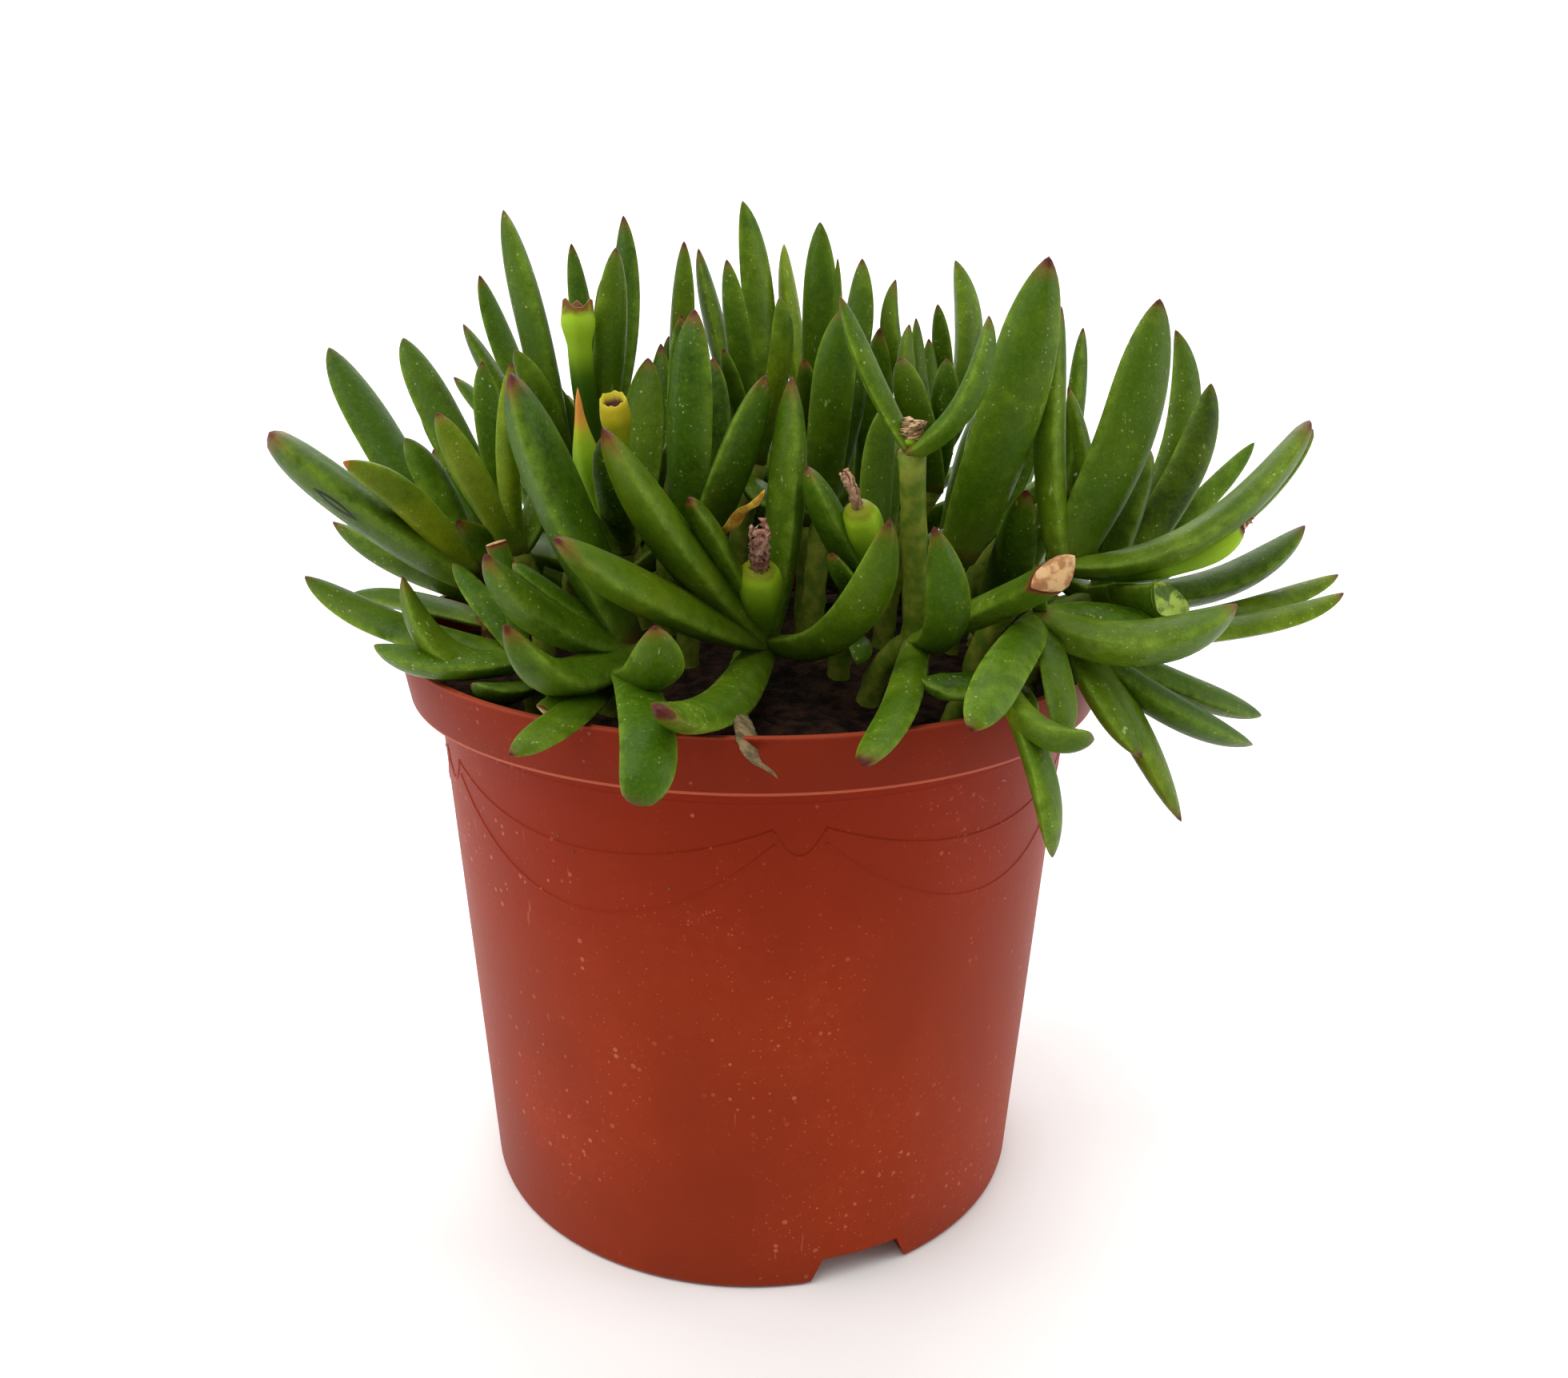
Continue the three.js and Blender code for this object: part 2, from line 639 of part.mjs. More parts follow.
// A hidden stem with its opposite pairs, each pair turned a quarter from the one below.
function hiddenShoot({ radius, rise, lean, length }, bearing, name) {
  const turn = THREE.MathUtils.degToRad(bearing + VARY.bearing * (draw() - 0.5));
  const out = new THREE.Vector3(Math.sin(turn), Math.cos(turn), 0);
  const foot = [out.x * (radius - VARY.foot * draw()), out.y * (radius - VARY.foot * draw())];
  const tilt = THREE.MathUtils.degToRad(lean + VARY.lean * (draw() - 0.5));
  const axis = out.clone().multiplyScalar(Math.sin(tilt));
  axis.z = Math.cos(tilt);
  const crown = new THREE.Vector3(foot[0], foot[1], soilHeight(foot[0], foot[1]));
  crown.addScaledVector(axis, rise * drawnShare(VARY.rise));
  const path = stemPath(foot, crown);
  const shoot = { name, path, leaves: [] };
  const first = out.clone().cross(axis).normalize();
  const second = axis.clone().cross(first).normalize();
  const start = Math.PI * draw();
  HIDDEN_PAIRS.forEach(({ drop, spread, share }, pair) => {
    for (const half of [0, 1]) {
      const quarter = (pair * Math.PI) / 2 + half * Math.PI;
      const round = start + quarter + VARY.round * (draw() - 0.5);
      const away = first.clone().multiplyScalar(Math.cos(round)).addScaledVector(second, Math.sin(round));
      const open = THREE.MathUtils.degToRad(spread + VARY.spread * (draw() - 0.5));
      const reach = length * share * drawnShare(VARY.length);
      const aim = axis.clone().multiplyScalar(Math.cos(open)).addScaledVector(away, Math.sin(open));
      aim.z = Math.max(aim.z, LOWEST_AIM);
      aim.normalize();
      const leaf = { root: crown.clone().addScaledVector(axis, -drop), sighted: false };
      leaf.tip = leaf.root.clone().addScaledVector(aim, reach);
      leaf.via = leaf.root.clone().addScaledVector(aim, 0.5 * reach);
      leaf.via.addScaledVector(away, HIDDEN_BOW * reach).addScaledVector(axis, -HIDDEN_DROOP * reach);
      leaf.half = HIDDEN_HALF_WIDTH * drawnShare(VARY.width) * (pair === 2 ? TOP_PAIR_WIDTH : 1);
      leaf.profile = pair === 2 ? SLIM_PROFILE : LEAF_PROFILE;
      leaf.thickness = LEAF_THICKNESS;
      leaf.section = LEAF_SECTION;
      leafAxes(leaf, path);
      shoot.leaves.push(leaf);
    }
  });
  return shoot;
}

for (const ring of HIDDEN_RINGS) {
  for (const bearing of ring.bearings) {
    const name = `leafy_stem_${String(shoots.length + 1).padStart(2, "0")}`;
    shoots.push(hiddenShoot(ring, bearing, name));
  }
}

// Points along every leaf and stem, with what is needed to tell how far two of them overlap.
function bendPoints() {
  const points = [];
  let number = 0;
  shoots.forEach((shoot, owner) => {
    for (const leaf of shoot.leaves) {
      number += 1;
      for (const t of BEND_SHARES) {
        const rho = Math.max(profileAt(leaf.profile, t), LEAST_SHARE) * leaf.half;
        points.push({ owner, number, leaf, t, rho, at: new THREE.Vector3() });
      }
    }
    for (let k = 0; k <= STEM_POINTS; k += 1) {
      const at = pointAlong(shoot.path, k / STEM_POINTS);
      points.push({ owner, leaf: null, t: 0, rho: STEM_RADIUS, at });
    }
  });
  return points;
}

function placePoints(points) {
  for (const point of points) {
    if (point.leaf) {
      point.at.copy(bezier(point.leaf.root, point.leaf.via, point.leaf.tip, point.t));
    }
  }
}

// How far a leaf reaches from its middle line in a direction.
function reachOf(point, direction) {
  if (!point.leaf) {
    return point.rho;
  }
  const wide = direction.dot(point.leaf.across);
  const thick = point.leaf.thickness * direction.dot(point.leaf.inner);
  return point.rho * Math.hypot(wide, thick);
}

const mobility = (point) => (point.leaf ? Math.max(point.t - HELD_SHARE, 0) : 0);

function moveLeaf(point, push) {
  const via = 2 * point.t * (1 - point.t);
  const tip = point.t * point.t;
  const share = 1 / Math.max(via * via + tip * tip, LEAST_LEVER);
  point.leaf.viaMove.addScaledVector(push, via * share);
  point.leaf.tipMove.addScaledVector(push, tip * share);
}

// The push is along the line of sight for a leaf that shows, so that it stays where it was measured.
function pushApart(point, away, need) {
  if (!point.leaf.sighted) {
    moveLeaf(point, away.clone().multiplyScalar(need));
    return;
  }
  const sight = point.at.clone().sub(eye).normalize();
  const share = away.dot(sight);
  const step = (Math.sign(share) * need) / Math.max(Math.abs(share), SIGHT_LEAST);
  moveLeaf(point, sight.multiplyScalar(step));
}

// Off the pot a leaf is bent rather than swung: its tip stays unless the push is near the tip.
function bendLeaf(point, push) {
  const via = 2 * point.t * (1 - point.t);
  if (point.t < BEND_TO) {
    point.leaf.viaMove.addScaledVector(push, 1 / Math.max(via, LEAST_LEVER));
  } else {
    point.leaf.tipMove.addScaledVector(push, 1 / (point.t * point.t));
  }
}

// Off the soil, and off the rim: a leaf whose tip is outside is raised over it, the others stay inside.
function pushOffPot(point) {
  const { at, leaf } = point;
  const radius = Math.hypot(at.x, at.y);
  const out = new THREE.Vector3(at.x / radius, at.y / radius, 0);
  const up = new THREE.Vector3(0, 0, 1);
  const over = radius - RIM_MIDDLE;
  const above = at.z - RIM_TOP;
  const spare = RIM_HALF + CLEARANCE;
  if (over < 0) {
    const low = soilHeight(at.x, at.y) + reachOf(point, up) + CLEARANCE - at.z;
    if (low > 0) {
      bendLeaf(point, up.clone().multiplyScalar(POT_PUSH * low));
    }
  }
  if (above >= 0) {
    const distance = Math.max(Math.hypot(over, above), TINY);
    const away = out.clone().multiplyScalar(over / distance).addScaledVector(up, above / distance);
    const need = reachOf(point, away) + spare - distance;
    if (need > 0) {
      bendLeaf(point, away.multiplyScalar(POT_PUSH * need));
    }
  } else if (over >= 0) {
    const need = reachOf(point, out) + spare - over;
    if (need > 0 && at.z > POT_HEIGHT - BAND_HEIGHT - BAND_REACH) {
      bendLeaf(point, out.multiplyScalar(POT_PUSH * need));
    }
  } else if (Math.hypot(leaf.tip.x, leaf.tip.y) > RIM_MIDDLE) {
    const need = reachOf(point, up) + spare;
    if (-over < need) {
      const rise = Math.sqrt(need * need - over * over) - above;
      bendLeaf(point, up.multiplyScalar(POT_PUSH * rise));
    }
  } else {
    const need = reachOf(point, out) + spare + over;
    if (need > 0) {
      bendLeaf(point, out.multiplyScalar(-POT_PUSH * need));
    }
  }
}

// Hidden leaves that cross pass over each other: the way is square to both, or none if they run alike.
function sideOf(a, b) {
  const chordA = a.leaf.tip.clone().sub(a.leaf.root).normalize();
  const chordB = b.leaf.tip.clone().sub(b.leaf.root).normalize();
  const side = chordA.cross(chordB);
  if (side.length() < CROSSING) {
    return null;
  }
  const sign = side.dot(a.at) < side.dot(b.at) ? -1 : 1;
  return side.normalize().multiplyScalar(sign);
}

const points = bendPoints();
placePoints(points);
const near = [];
const crossings = new Map();
for (let k = 0; k < points.length; k += 1) {
  for (let m = k + 1; m < points.length; m += 1) {
    const a = points[k];
    const b = points[m];
    const distance = a.at.distanceTo(b.at);
    if (a.owner === b.owner || distance > NEAR) {
      continue;
    }
    const pair = { a, b, crossing: null };
    near.push(pair);
    if (a.leaf && b.leaf && !a.leaf.sighted && !b.leaf.sighted) {
      const key = `${a.number} ${b.number}`;
      const crossing = crossings.get(key) ?? { least: Infinity };
      pair.crossing = crossing;
      crossings.set(key, crossing);
      if (distance < crossing.least) {
        crossing.least = distance;
        crossing.side = sideOf(a, b);
      }
    }
  }
}

for (let round = 0; round < BEND_ROUNDS; round += 1) {
  for (const shoot of shoots) {
    for (const leaf of shoot.leaves) {
      leaf.viaMove = new THREE.Vector3();
      leaf.tipMove = new THREE.Vector3();
    }
  }
  for (const { a, b, crossing } of near) {
    const between = a.at.clone().sub(b.at);
    const distance = Math.max(between.length(), TINY);
    let away = between.clone().divideScalar(distance);
    let need = reachOf(a, away) + reachOf(b, away) + CLEARANCE - distance;
    if (need > 0 && crossing?.side) {
      away = crossing.side.clone();
      need = reachOf(a, away) + reachOf(b, away) + CLEARANCE - between.dot(away);
    }
    const total = mobility(a) + mobility(b);
    if (need > 0 && total > 0) {
      if (mobility(a) > 0) {
        pushApart(a, away, (PUSH * need * mobility(a)) / total);
      }
      if (mobility(b) > 0) {
        pushApart(b, away.negate(), (PUSH * need * mobility(b)) / total);
      }
    }
  }
  for (const point of points) {
    if (mobility(point) > 0) {
      pushOffPot(point);
    }
  }
  for (const shoot of shoots) {
    for (const leaf of shoot.leaves) {
      leaf.via.add(leaf.viaMove.clampLength(0, LONGEST_STEP));
      leaf.tip.add(leaf.tipMove.clampLength(0, LONGEST_STEP));
    }
  }
  placePoints(points);
}

function solidFrom(geometry) {
  const bare = geometry.index ? geometry : geometry.clone();
  bare.deleteAttribute("normal");
  bare.deleteAttribute("uv");
  const merged = mergeVertices(bare, MERGED);
  const mesh = new wasm.Mesh({
    numProp: 3,
    vertProperties: new Float32Array(merged.getAttribute("position").array),
    triVerts: new Uint32Array(merged.index.array),
  });
  return new wasm.Manifold(mesh);
}

function geometryFrom(solid) {
  const mesh = solid.getMesh();
  const geometry = new THREE.BufferGeometry();
  geometry.setAttribute("position", new THREE.BufferAttribute(mesh.vertProperties, 3));
  geometry.setIndex(new THREE.BufferAttribute(mesh.triVerts, 1));
  const flat = geometry.toNonIndexed();
  flat.computeVertexNormals();
  return flat;
}

// A closed solid through rings of points; the last ring may be a single point.
function skin(rings) {
  const positions = [];
  const index = [];
  const starts = [];
  for (const ring of rings) {
    starts.push(positions.length / 3);
    for (const point of ring) {
      positions.push(point.x, point.y, point.z);
    }
  }
  const sides = rings[0].length;
  for (let k = 1; k < sides - 1; k += 1) {
    index.push(0, k + 1, k);
  }
  for (let r = 1; r < rings.length; r += 1) {
    for (let k = 0; k < sides; k += 1) {
      const next = (k + 1) % sides;
      const low = starts[r - 1];
      const high = starts[r];
      if (rings[r].length === 1) {
        index.push(low + k, low + next, high);
      } else {
        index.push(low + k, low + next, high + next, low + k, high + next, high + k);
      }
    }
  }
  const last = rings.length - 1;
  if (rings[last].length > 1) {
    for (let k = 1; k < sides - 1; k += 1) {
      index.push(starts[last], starts[last] + k, starts[last] + k + 1);
    }
  }
  const geometry = new THREE.BufferGeometry();
  geometry.setAttribute("position", new THREE.Float32BufferAttribute(positions, 3));
  geometry.setIndex(index);
  return solidFrom(geometry);
}

// Rings across a curve, each the section of the leaf at its share of the half width.
function sweep({ root, via, tip, profile, section, thickness, across, half }) {
  const depth = Math.max(...section.map(([, thick]) => Math.abs(thick)));
  const rings = profile.map(([t, share], k) => {
    const middle = bezier(root, via, tip, t);
    if (share === 0) {
      return [middle];
    }
    const along = bezierAlong(root, via, tip, t);
    const flat = across.clone().addScaledVector(along, -across.dot(along)).normalize();
    const inner = along.clone().cross(flat);
    return section.map(([wide, thick], side) => {
      const ragged = profile === BLOOM_PROFILE ? RAGGED_LEAST + RAGGED_MORE * ((side + k) % 2) : 1;
      return middle
        .clone()
        .addScaledVector(flat, ragged * wide * share * half)
        .addScaledVector(inner, (ragged * thick * share * half * thickness) / depth);
    });
  });
  return skin(rings);
}

// A capsule ends at the seat of its flower; the flower is the rest of the same curve.
function capsuleSolid(fruit) {
  const tip = bezier(fruit.root, fruit.via, fruit.tip, fruit.seat);
  const via = fruit.root.clone().lerp(fruit.via, fruit.seat);
  return sweep({ ...fruit, via, tip, profile: fruit.fruitProfile });
}

function flowerSolid(fruit) {
  const root = bezier(fruit.root, fruit.via, fruit.tip, fruit.seat);
  const via = fruit.via.clone().lerp(fruit.tip, fruit.seat);
  return sweep({ ...fruit, root, via, profile: BLOOM_PROFILE, half: fruit.half * fruit.bloom });
}

function stemSolid(path) {
  const ground = path[0];
  const below = ground.clone();
  below.z -= STEM_DEPTH;
  const rings = [below, ground, path[2], path[4]].map((middle, k, all) => {
    const ahead = all[Math.min(k + 1, all.length - 1)];
    const behind = all[Math.max(k - 1, 0)];
    const along = k < 2 ? new THREE.Vector3(0, 0, 1) : ahead.clone().sub(behind).normalize();
    const across = new THREE.Vector3(1, 0, 0).addScaledVector(along, -along.x).normalize();
    const inner = along.clone().cross(across);
    const ring = [];
    for (let s = 0; s < STEM_SIDES; s += 1) {
      const turn = (2 * Math.PI * s) / STEM_SIDES;
      ring.push(
        middle
          .clone()
          .addScaledVector(across, STEM_RADIUS * Math.cos(turn))
          .addScaledVector(inner, STEM_RADIUS * Math.sin(turn)),
      );
    }
    return ring;
  });
  return skin(rings);
}

const grownOf = new Map();

// The solid grown by about the gap, to cut what rests against it.
function grown(solid) {
  if (grownOf.has(solid)) {
    return grownOf.get(solid);
  }
  let all = solid;
  for (const step of [[GAP, 0, 0], [-GAP, 0, 0], [0, GAP, 0], [0, -GAP, 0], [0, 0, GAP], [0, 0, -GAP]]) {
    all = all.add(solid.translate(step));
  }
  grownOf.set(solid, all);
  return all;
}

// What fusing seals off or cuts loose is dropped, and slivers of no size are merged away.
function largest(solid) {
  const bodies = solid.simplify(SLIVER).decompose();
  bodies.sort((a, b) => b.volume() - a.volume());
  return bodies[0];
}

for (const shoot of shoots) {
  shoot.solid = stemSolid(shoot.path);
  for (const leaf of shoot.leaves) {
    if (leaf.seat) {
      shoot.solid = shoot.solid.add(capsuleSolid(leaf));
    } else if (!leaf.dry) {
      shoot.solid = shoot.solid.add(sweep(leaf));
    }
  }
  shoot.solid = largest(shoot.solid);
}

// Where a leaf still rests against another stem's leaf, it is dented by the gap between them.
for (let k = 0; k < shoots.length; k += 1) {
  for (let m = 0; m < k; m += 1) {
    if (shoots[k].solid.minGap(shoots[m].solid, SEARCHED) < TOUCHING) {
      shoots[k].solid = largest(shoots[k].solid.subtract(grown(shoots[m].solid)));
    }
  }
}

function lathe(outline, sides) {
  const geometry = new THREE.LatheGeometry(outline.map(([x, y]) => new THREE.Vector2(x, y)), sides);
  return solidFrom(geometry.rotateX(Math.PI / 2));
}

function block(width, depth, height, x, y, z) {
  return solidFrom(new THREE.BoxGeometry(width, depth, height).translate(x, y, z));
}

// A drainage channel: an arch with sloped sides, from inside the foot out past the wall.
function channel(bearing, growth) {
  const half = 0.5 * NOTCH_WIDTH + growth;
  const top = NOTCH_HEIGHT + growth;
  const arch = new THREE.Shape();
  arch.moveTo(-half, growth > 0 ? 0 : -1);
  arch.lineTo(-NOTCH_TOP_SHARE * half, top);
  arch.lineTo(NOTCH_TOP_SHARE * half, top);
  arch.lineTo(half, growth > 0 ? 0 : -1);
  arch.closePath();
  const length = NOTCH_DEPTH + growth + NOTCH_PAST;
  const geometry = new THREE.ExtrudeGeometry(arch, { depth: length, bevelEnabled: false });
  geometry.rotateX(Math.PI / 2);
  geometry.translate(0, -(BASE_RADIUS - NOTCH_DEPTH - growth), 0);
  geometry.rotateZ(THREE.MathUtils.degToRad(bearing));
  return solidFrom(geometry);
}

const bandFoot = POT_HEIGHT - BAND_HEIGHT;
const innerTop = BODY_TOP_RADIUS - WALL;
const innerBase = BASE_RADIUS - WALL;
const bandInner = BAND_FOOT_RADIUS - WALL;
const potOutside = lathe(
  [
    [0, 0],
    [BASE_RADIUS - BASE_ROUNDING, 0],
    [BASE_RADIUS - 0.4 * BASE_ROUNDING, 0.3 * BASE_ROUNDING],
    [BASE_RADIUS, BASE_ROUNDING],
    [BODY_TOP_RADIUS, bandFoot],
    [BAND_FOOT_RADIUS - BAND_EDGE, bandFoot],
    [BAND_FOOT_RADIUS, bandFoot + BAND_EDGE],
    [RIM_RADIUS, POT_HEIGHT - RIM_EDGE],
    [RIM_RADIUS - RIM_INSET, POT_HEIGHT],
    [0, POT_HEIGHT],
  ],
  POT_SIDES,
);
const hollow = [
  [0, WALL],
  [innerBase, WALL],
  [innerTop, bandFoot + WALL],
  [bandInner, bandFoot + WALL],
  [RIM_RADIUS - WALL - RIM_LEAN, POT_HEIGHT],
];
const potInside = lathe([...hollow, [RIM_RADIUS - WALL, POT_HEIGHT + 1], [0, POT_HEIGHT + 1]], POT_SIDES);
let vaults = null;
let channels = null;
for (let k = 0; k < NOTCH_COUNT; k += 1) {
  const bearing = NOTCH_BEARING + (k * 360) / NOTCH_COUNT;
  const vault = channel(bearing, WALL);
  vaults = vaults ? vaults.add(vault) : vault;
  channels = channels ? channels.add(channel(bearing, 0)) : channel(bearing, 0);
}
let pot = potOutside.subtract(potInside).add(vaults.intersect(potOutside)).subtract(channels);
for (const bearing of HANGER_BEARINGS) {
  const middle = bandFoot - HANGER_DROP;
  const slot = block(HANGER_WIDTH, HANGER_CUT, HANGER_HEIGHT, 0, -BODY_TOP_RADIUS, middle);
  pot = pot.subtract(slot.rotate([0, 0, bearing]));
}
pot = largest(pot);

// The soil follows the inside of the pot at the gap, and every stem has a plain hole in it.
const surface = [];
for (let k = 0; k <= SOIL_RINGS; k += 1) {
  const radius = (RIM_RADIUS - WALL - SOIL_INSET) * (1 - k / SOIL_RINGS);
  surface.push([radius, soilHeight(radius, 0)]);
}
let soil = lathe(
  [
    [0, WALL + GAP],
    [innerBase - GAP, WALL + GAP],
    [innerTop - GAP, bandFoot + WALL + GAP],
    [bandInner - GAP, bandFoot + WALL + GAP],
    ...surface,
  ],
  SOIL_SIDES,
);
soil = soil.subtract(grown(vaults));
for (const { path } of shoots) {
  const length = STEM_DEPTH + HOLE_RISE;
  const hole = new THREE.CylinderGeometry(HOLE_RADIUS, HOLE_RADIUS, length, STEM_SIDES);
  hole.rotateX(Math.PI / 2);
  hole.translate(path[0].x, path[0].y, path[0].z - STEM_DEPTH - GAP + length / 2);
  soil = soil.subtract(solidFrom(hole));
}
soil = largest(soil);

// Leaves that still reach into the soil or the rim are dented by the gap too.
for (const shoot of shoots) {
  for (const other of [soil, pot]) {
    if (shoot.solid.minGap(other, SEARCHED) < TOUCHING) {
      shoot.solid = largest(shoot.solid.subtract(grown(other)));
    }
  }
}

const group = new THREE.Group();
group.name = "potted_pig_ear_succulent";

function addNode(name, solid, material) {
  const mesh = new THREE.Mesh(geometryFrom(solid), material);
  mesh.name = name;
  group.add(mesh);
}

const POT_PLASTIC = new THREE.MeshStandardMaterial({ color: 0x9a3a22, roughness: 0.5, metalness: 0 });
const PEAT = new THREE.MeshStandardMaterial({ color: 0x2c211a, roughness: 1, metalness: 0 });
const LEAF_GREEN = new THREE.MeshStandardMaterial({ color: 0x4f7026, roughness: 0.5, metalness: 0 });
const DRY_BROWN = new THREE.MeshStandardMaterial({ color: 0x9a7650, roughness: 0.9, metalness: 0 });

addNode("pot", pot, POT_PLASTIC);
addNode("soil", soil, PEAT);
for (const { name, solid } of shoots) {
  addNode(name, solid, LEAF_GREEN);
}

// Withered petals and leaves are cut back by the gap from the green that they grow on.
let flowers = 0;
let withered = 0;
for (const shoot of shoots) {
  for (const leaf of shoot.leaves) {
    if (!leaf.bloom && !leaf.dry) {
      continue;
    }
    let solid = leaf.dry ? sweep(leaf) : flowerSolid(leaf);
    for (const other of [...shoots.map((one) => one.solid), soil, pot]) {
      if (solid.minGap(other, SEARCHED) < TOUCHING) {
        solid = largest(solid.subtract(grown(other)));
      }
    }
    flowers += leaf.dry ? 0 : 1;
    withered += leaf.dry ? 1 : 0;
    addNode(leaf.dry ? `withered_leaf_${withered}` : `dried_flower_${flowers}`, solid, DRY_BROWN);
  }
}

export default group;
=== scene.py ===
"""Potted pig ear succulent: its looks, built round the fixed model of the same plant.

Thick finger-like leaves in opposite pairs, green seed capsules with withered flowers on top,
peaty soil, and a moulded nursery pot. The frame is in metres, +Z up, with -Y at the front. The
sizes of the plant and pot are in millimetres, and are scaled when a mesh is made.
"""

import functools
import math
import random

import bmesh
import bpy
import numpy as np
from bpy.props import FloatProperty, FloatVectorProperty, IntProperty, PointerProperty
from mathutils import Matrix, Vector, noise


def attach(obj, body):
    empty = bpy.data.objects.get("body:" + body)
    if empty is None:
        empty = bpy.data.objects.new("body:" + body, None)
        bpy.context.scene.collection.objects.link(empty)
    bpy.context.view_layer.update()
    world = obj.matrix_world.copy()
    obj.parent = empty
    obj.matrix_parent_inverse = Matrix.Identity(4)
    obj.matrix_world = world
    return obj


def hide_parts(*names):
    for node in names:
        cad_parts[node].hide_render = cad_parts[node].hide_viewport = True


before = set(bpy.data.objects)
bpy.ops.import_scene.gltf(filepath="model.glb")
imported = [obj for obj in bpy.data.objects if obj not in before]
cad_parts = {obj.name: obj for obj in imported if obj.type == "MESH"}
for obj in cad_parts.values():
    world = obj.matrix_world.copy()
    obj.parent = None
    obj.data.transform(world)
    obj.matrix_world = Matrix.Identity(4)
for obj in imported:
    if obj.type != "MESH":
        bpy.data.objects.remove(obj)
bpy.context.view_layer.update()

bl_info = {
    "name": "Potted pig ear succulent",
    "version": (1, 0, 0),
    "blender": (4, 5, 0),
    "location": "View3D > Sidebar > Succulent",
    "description": "Builds the leaves, capsules, soil and pot of a potted pig ear succulent",
    "category": "Object",
}

MM = 0.001

# Pot
RIM_RADIUS = 75.0
POT_HEIGHT = 0.83 * 2 * RIM_RADIUS
WALL = 1.3
BAND_HEIGHT = 0.152 * RIM_RADIUS
BAND_FOOT_RADIUS = 0.973 * RIM_RADIUS
BODY_TOP_RADIUS = 0.9 * RIM_RADIUS
BASE_RADIUS = 0.805 * RIM_RADIUS
BASE_ROUNDING = 1.6
RIM_HALF = 0.75
RIM_MIDDLE = RIM_RADIUS - RIM_HALF
RIM_TOP = POT_HEIGHT - RIM_HALF
POT_SIDES = 240
NOTCH_COUNT = 3
NOTCH_BEARING = 21.6
NOTCH_WIDTH = 23.0
NOTCH_HEIGHT = 6.5
NOTCH_DEPTH = 20.0
NOTCH_TOP_SHARE = 0.72
NOTCH_PAST = 20
HANGER_BEARINGS = (-78, 102)
HANGER_WIDTH = 5.0
HANGER_HEIGHT = 3.0
HANGER_DROP = 5.0
HANGER_CUT = 6
SHARP_ANGLE = 35
FOOT_OUTLINE = ((0, 0.3), (BASE_RADIUS - 0.9, 0.3), (BASE_RADIUS - 0.3, 9.5), (0, 9.5))

# Swags moulded on the pot's wall, each from one bearing to another at a height, with its sag
SWAGS = 5
SWAG_ARCS = ((-61, 3, 104.2, 7.2), (-60.9, 3.1, 101.3, 17), (3, 11, 103.8, 4.9))
RING_HEIGHTS = (109.4, 80.5, 6.4)
RELIEF_SUNK = 0.28

# Soil
SOIL_EDGE = POT_HEIGHT - 11.2
SOIL_MOUND = 5.5
SOIL_SIDES = 160
SOIL_RINGS = 50
SOIL_GAP = 0.3
SOIL_INSET = 0.9
VAULT_CLEAR = 1.8
FOOT_CLEAR = 1.2
# Lumps in the peat: height, spread and the layer of the noise that they are read from
LUMPS = ((1.5, 11, 0), (0.9, 4, 40))
LUMP_FADE = 4
LEAST_UPWARD = 0.55
FULL_TURN = (6.28, 6.28, 6.28)
LUMP_SIZES = (0.35, 1.3)
STREWN_INSET = 2.5
FIBRE_SIZE = 2.6 * MM
FIBRE_STRETCH = (1.0, 0.07, 0.07)
STEM_DEPTH = 9.0
STEM_RADIUS = 2.5

# The eye that the leaves were measured from: their places are points of its picture, with a depth
EYE_BACK = 3.897 * RIM_RADIUS
EYE_HEIGHT = POT_HEIGHT + 1.0535 * RIM_RADIUS
EYE_PITCH = math.radians(17.957)
EYE_YAW = math.radians(1.261)
EYE_ROLL = math.radians(0.634)
PICTURE_WIDTH = 1960
PICTURE_CENTRE = (980.0, 861.5)
FOCAL = 1743.0

EYE = np.array([0.0, -EYE_BACK, EYE_HEIGHT])
AHEAD = np.array([
    math.sin(EYE_YAW) * math.cos(EYE_PITCH),
    math.cos(EYE_YAW) * math.cos(EYE_PITCH),
    -math.sin(EYE_PITCH),
])
LEVEL_RIGHT = np.array([math.cos(EYE_YAW), -math.sin(EYE_YAW), 0.0])
LEVEL_UP = np.cross(LEVEL_RIGHT, AHEAD)
PICTURE_RIGHT = math.cos(EYE_ROLL) * LEVEL_RIGHT + math.sin(EYE_ROLL) * LEVEL_UP
PICTURE_UP = math.cos(EYE_ROLL) * LEVEL_UP - math.sin(EYE_ROLL) * LEVEL_RIGHT

# Leaves
LEAF_THICKNESS = 0.72
STEM_SPRING = 0.55
LEAST_RISE = 2
AXIS_LIFT = np.array([0, 0, 0.6])
AIM_SHARE = 0.6
WITHERED_THICKNESS = 0.35
PETALS = 9
PETAL_THICKNESS = 0.25
SLIM_WIDTH = 36

# The slit on the long leaf at the left, in the same picture places, and its size
SCAR_MIDDLE = (424, 634, -16)
SCAR_RUN = (55, 40)
SCAR_HALF_LENGTH = 5.2
SCAR_HALF_WIDTH = 0.7
SCAR_DEPTH = 6.0

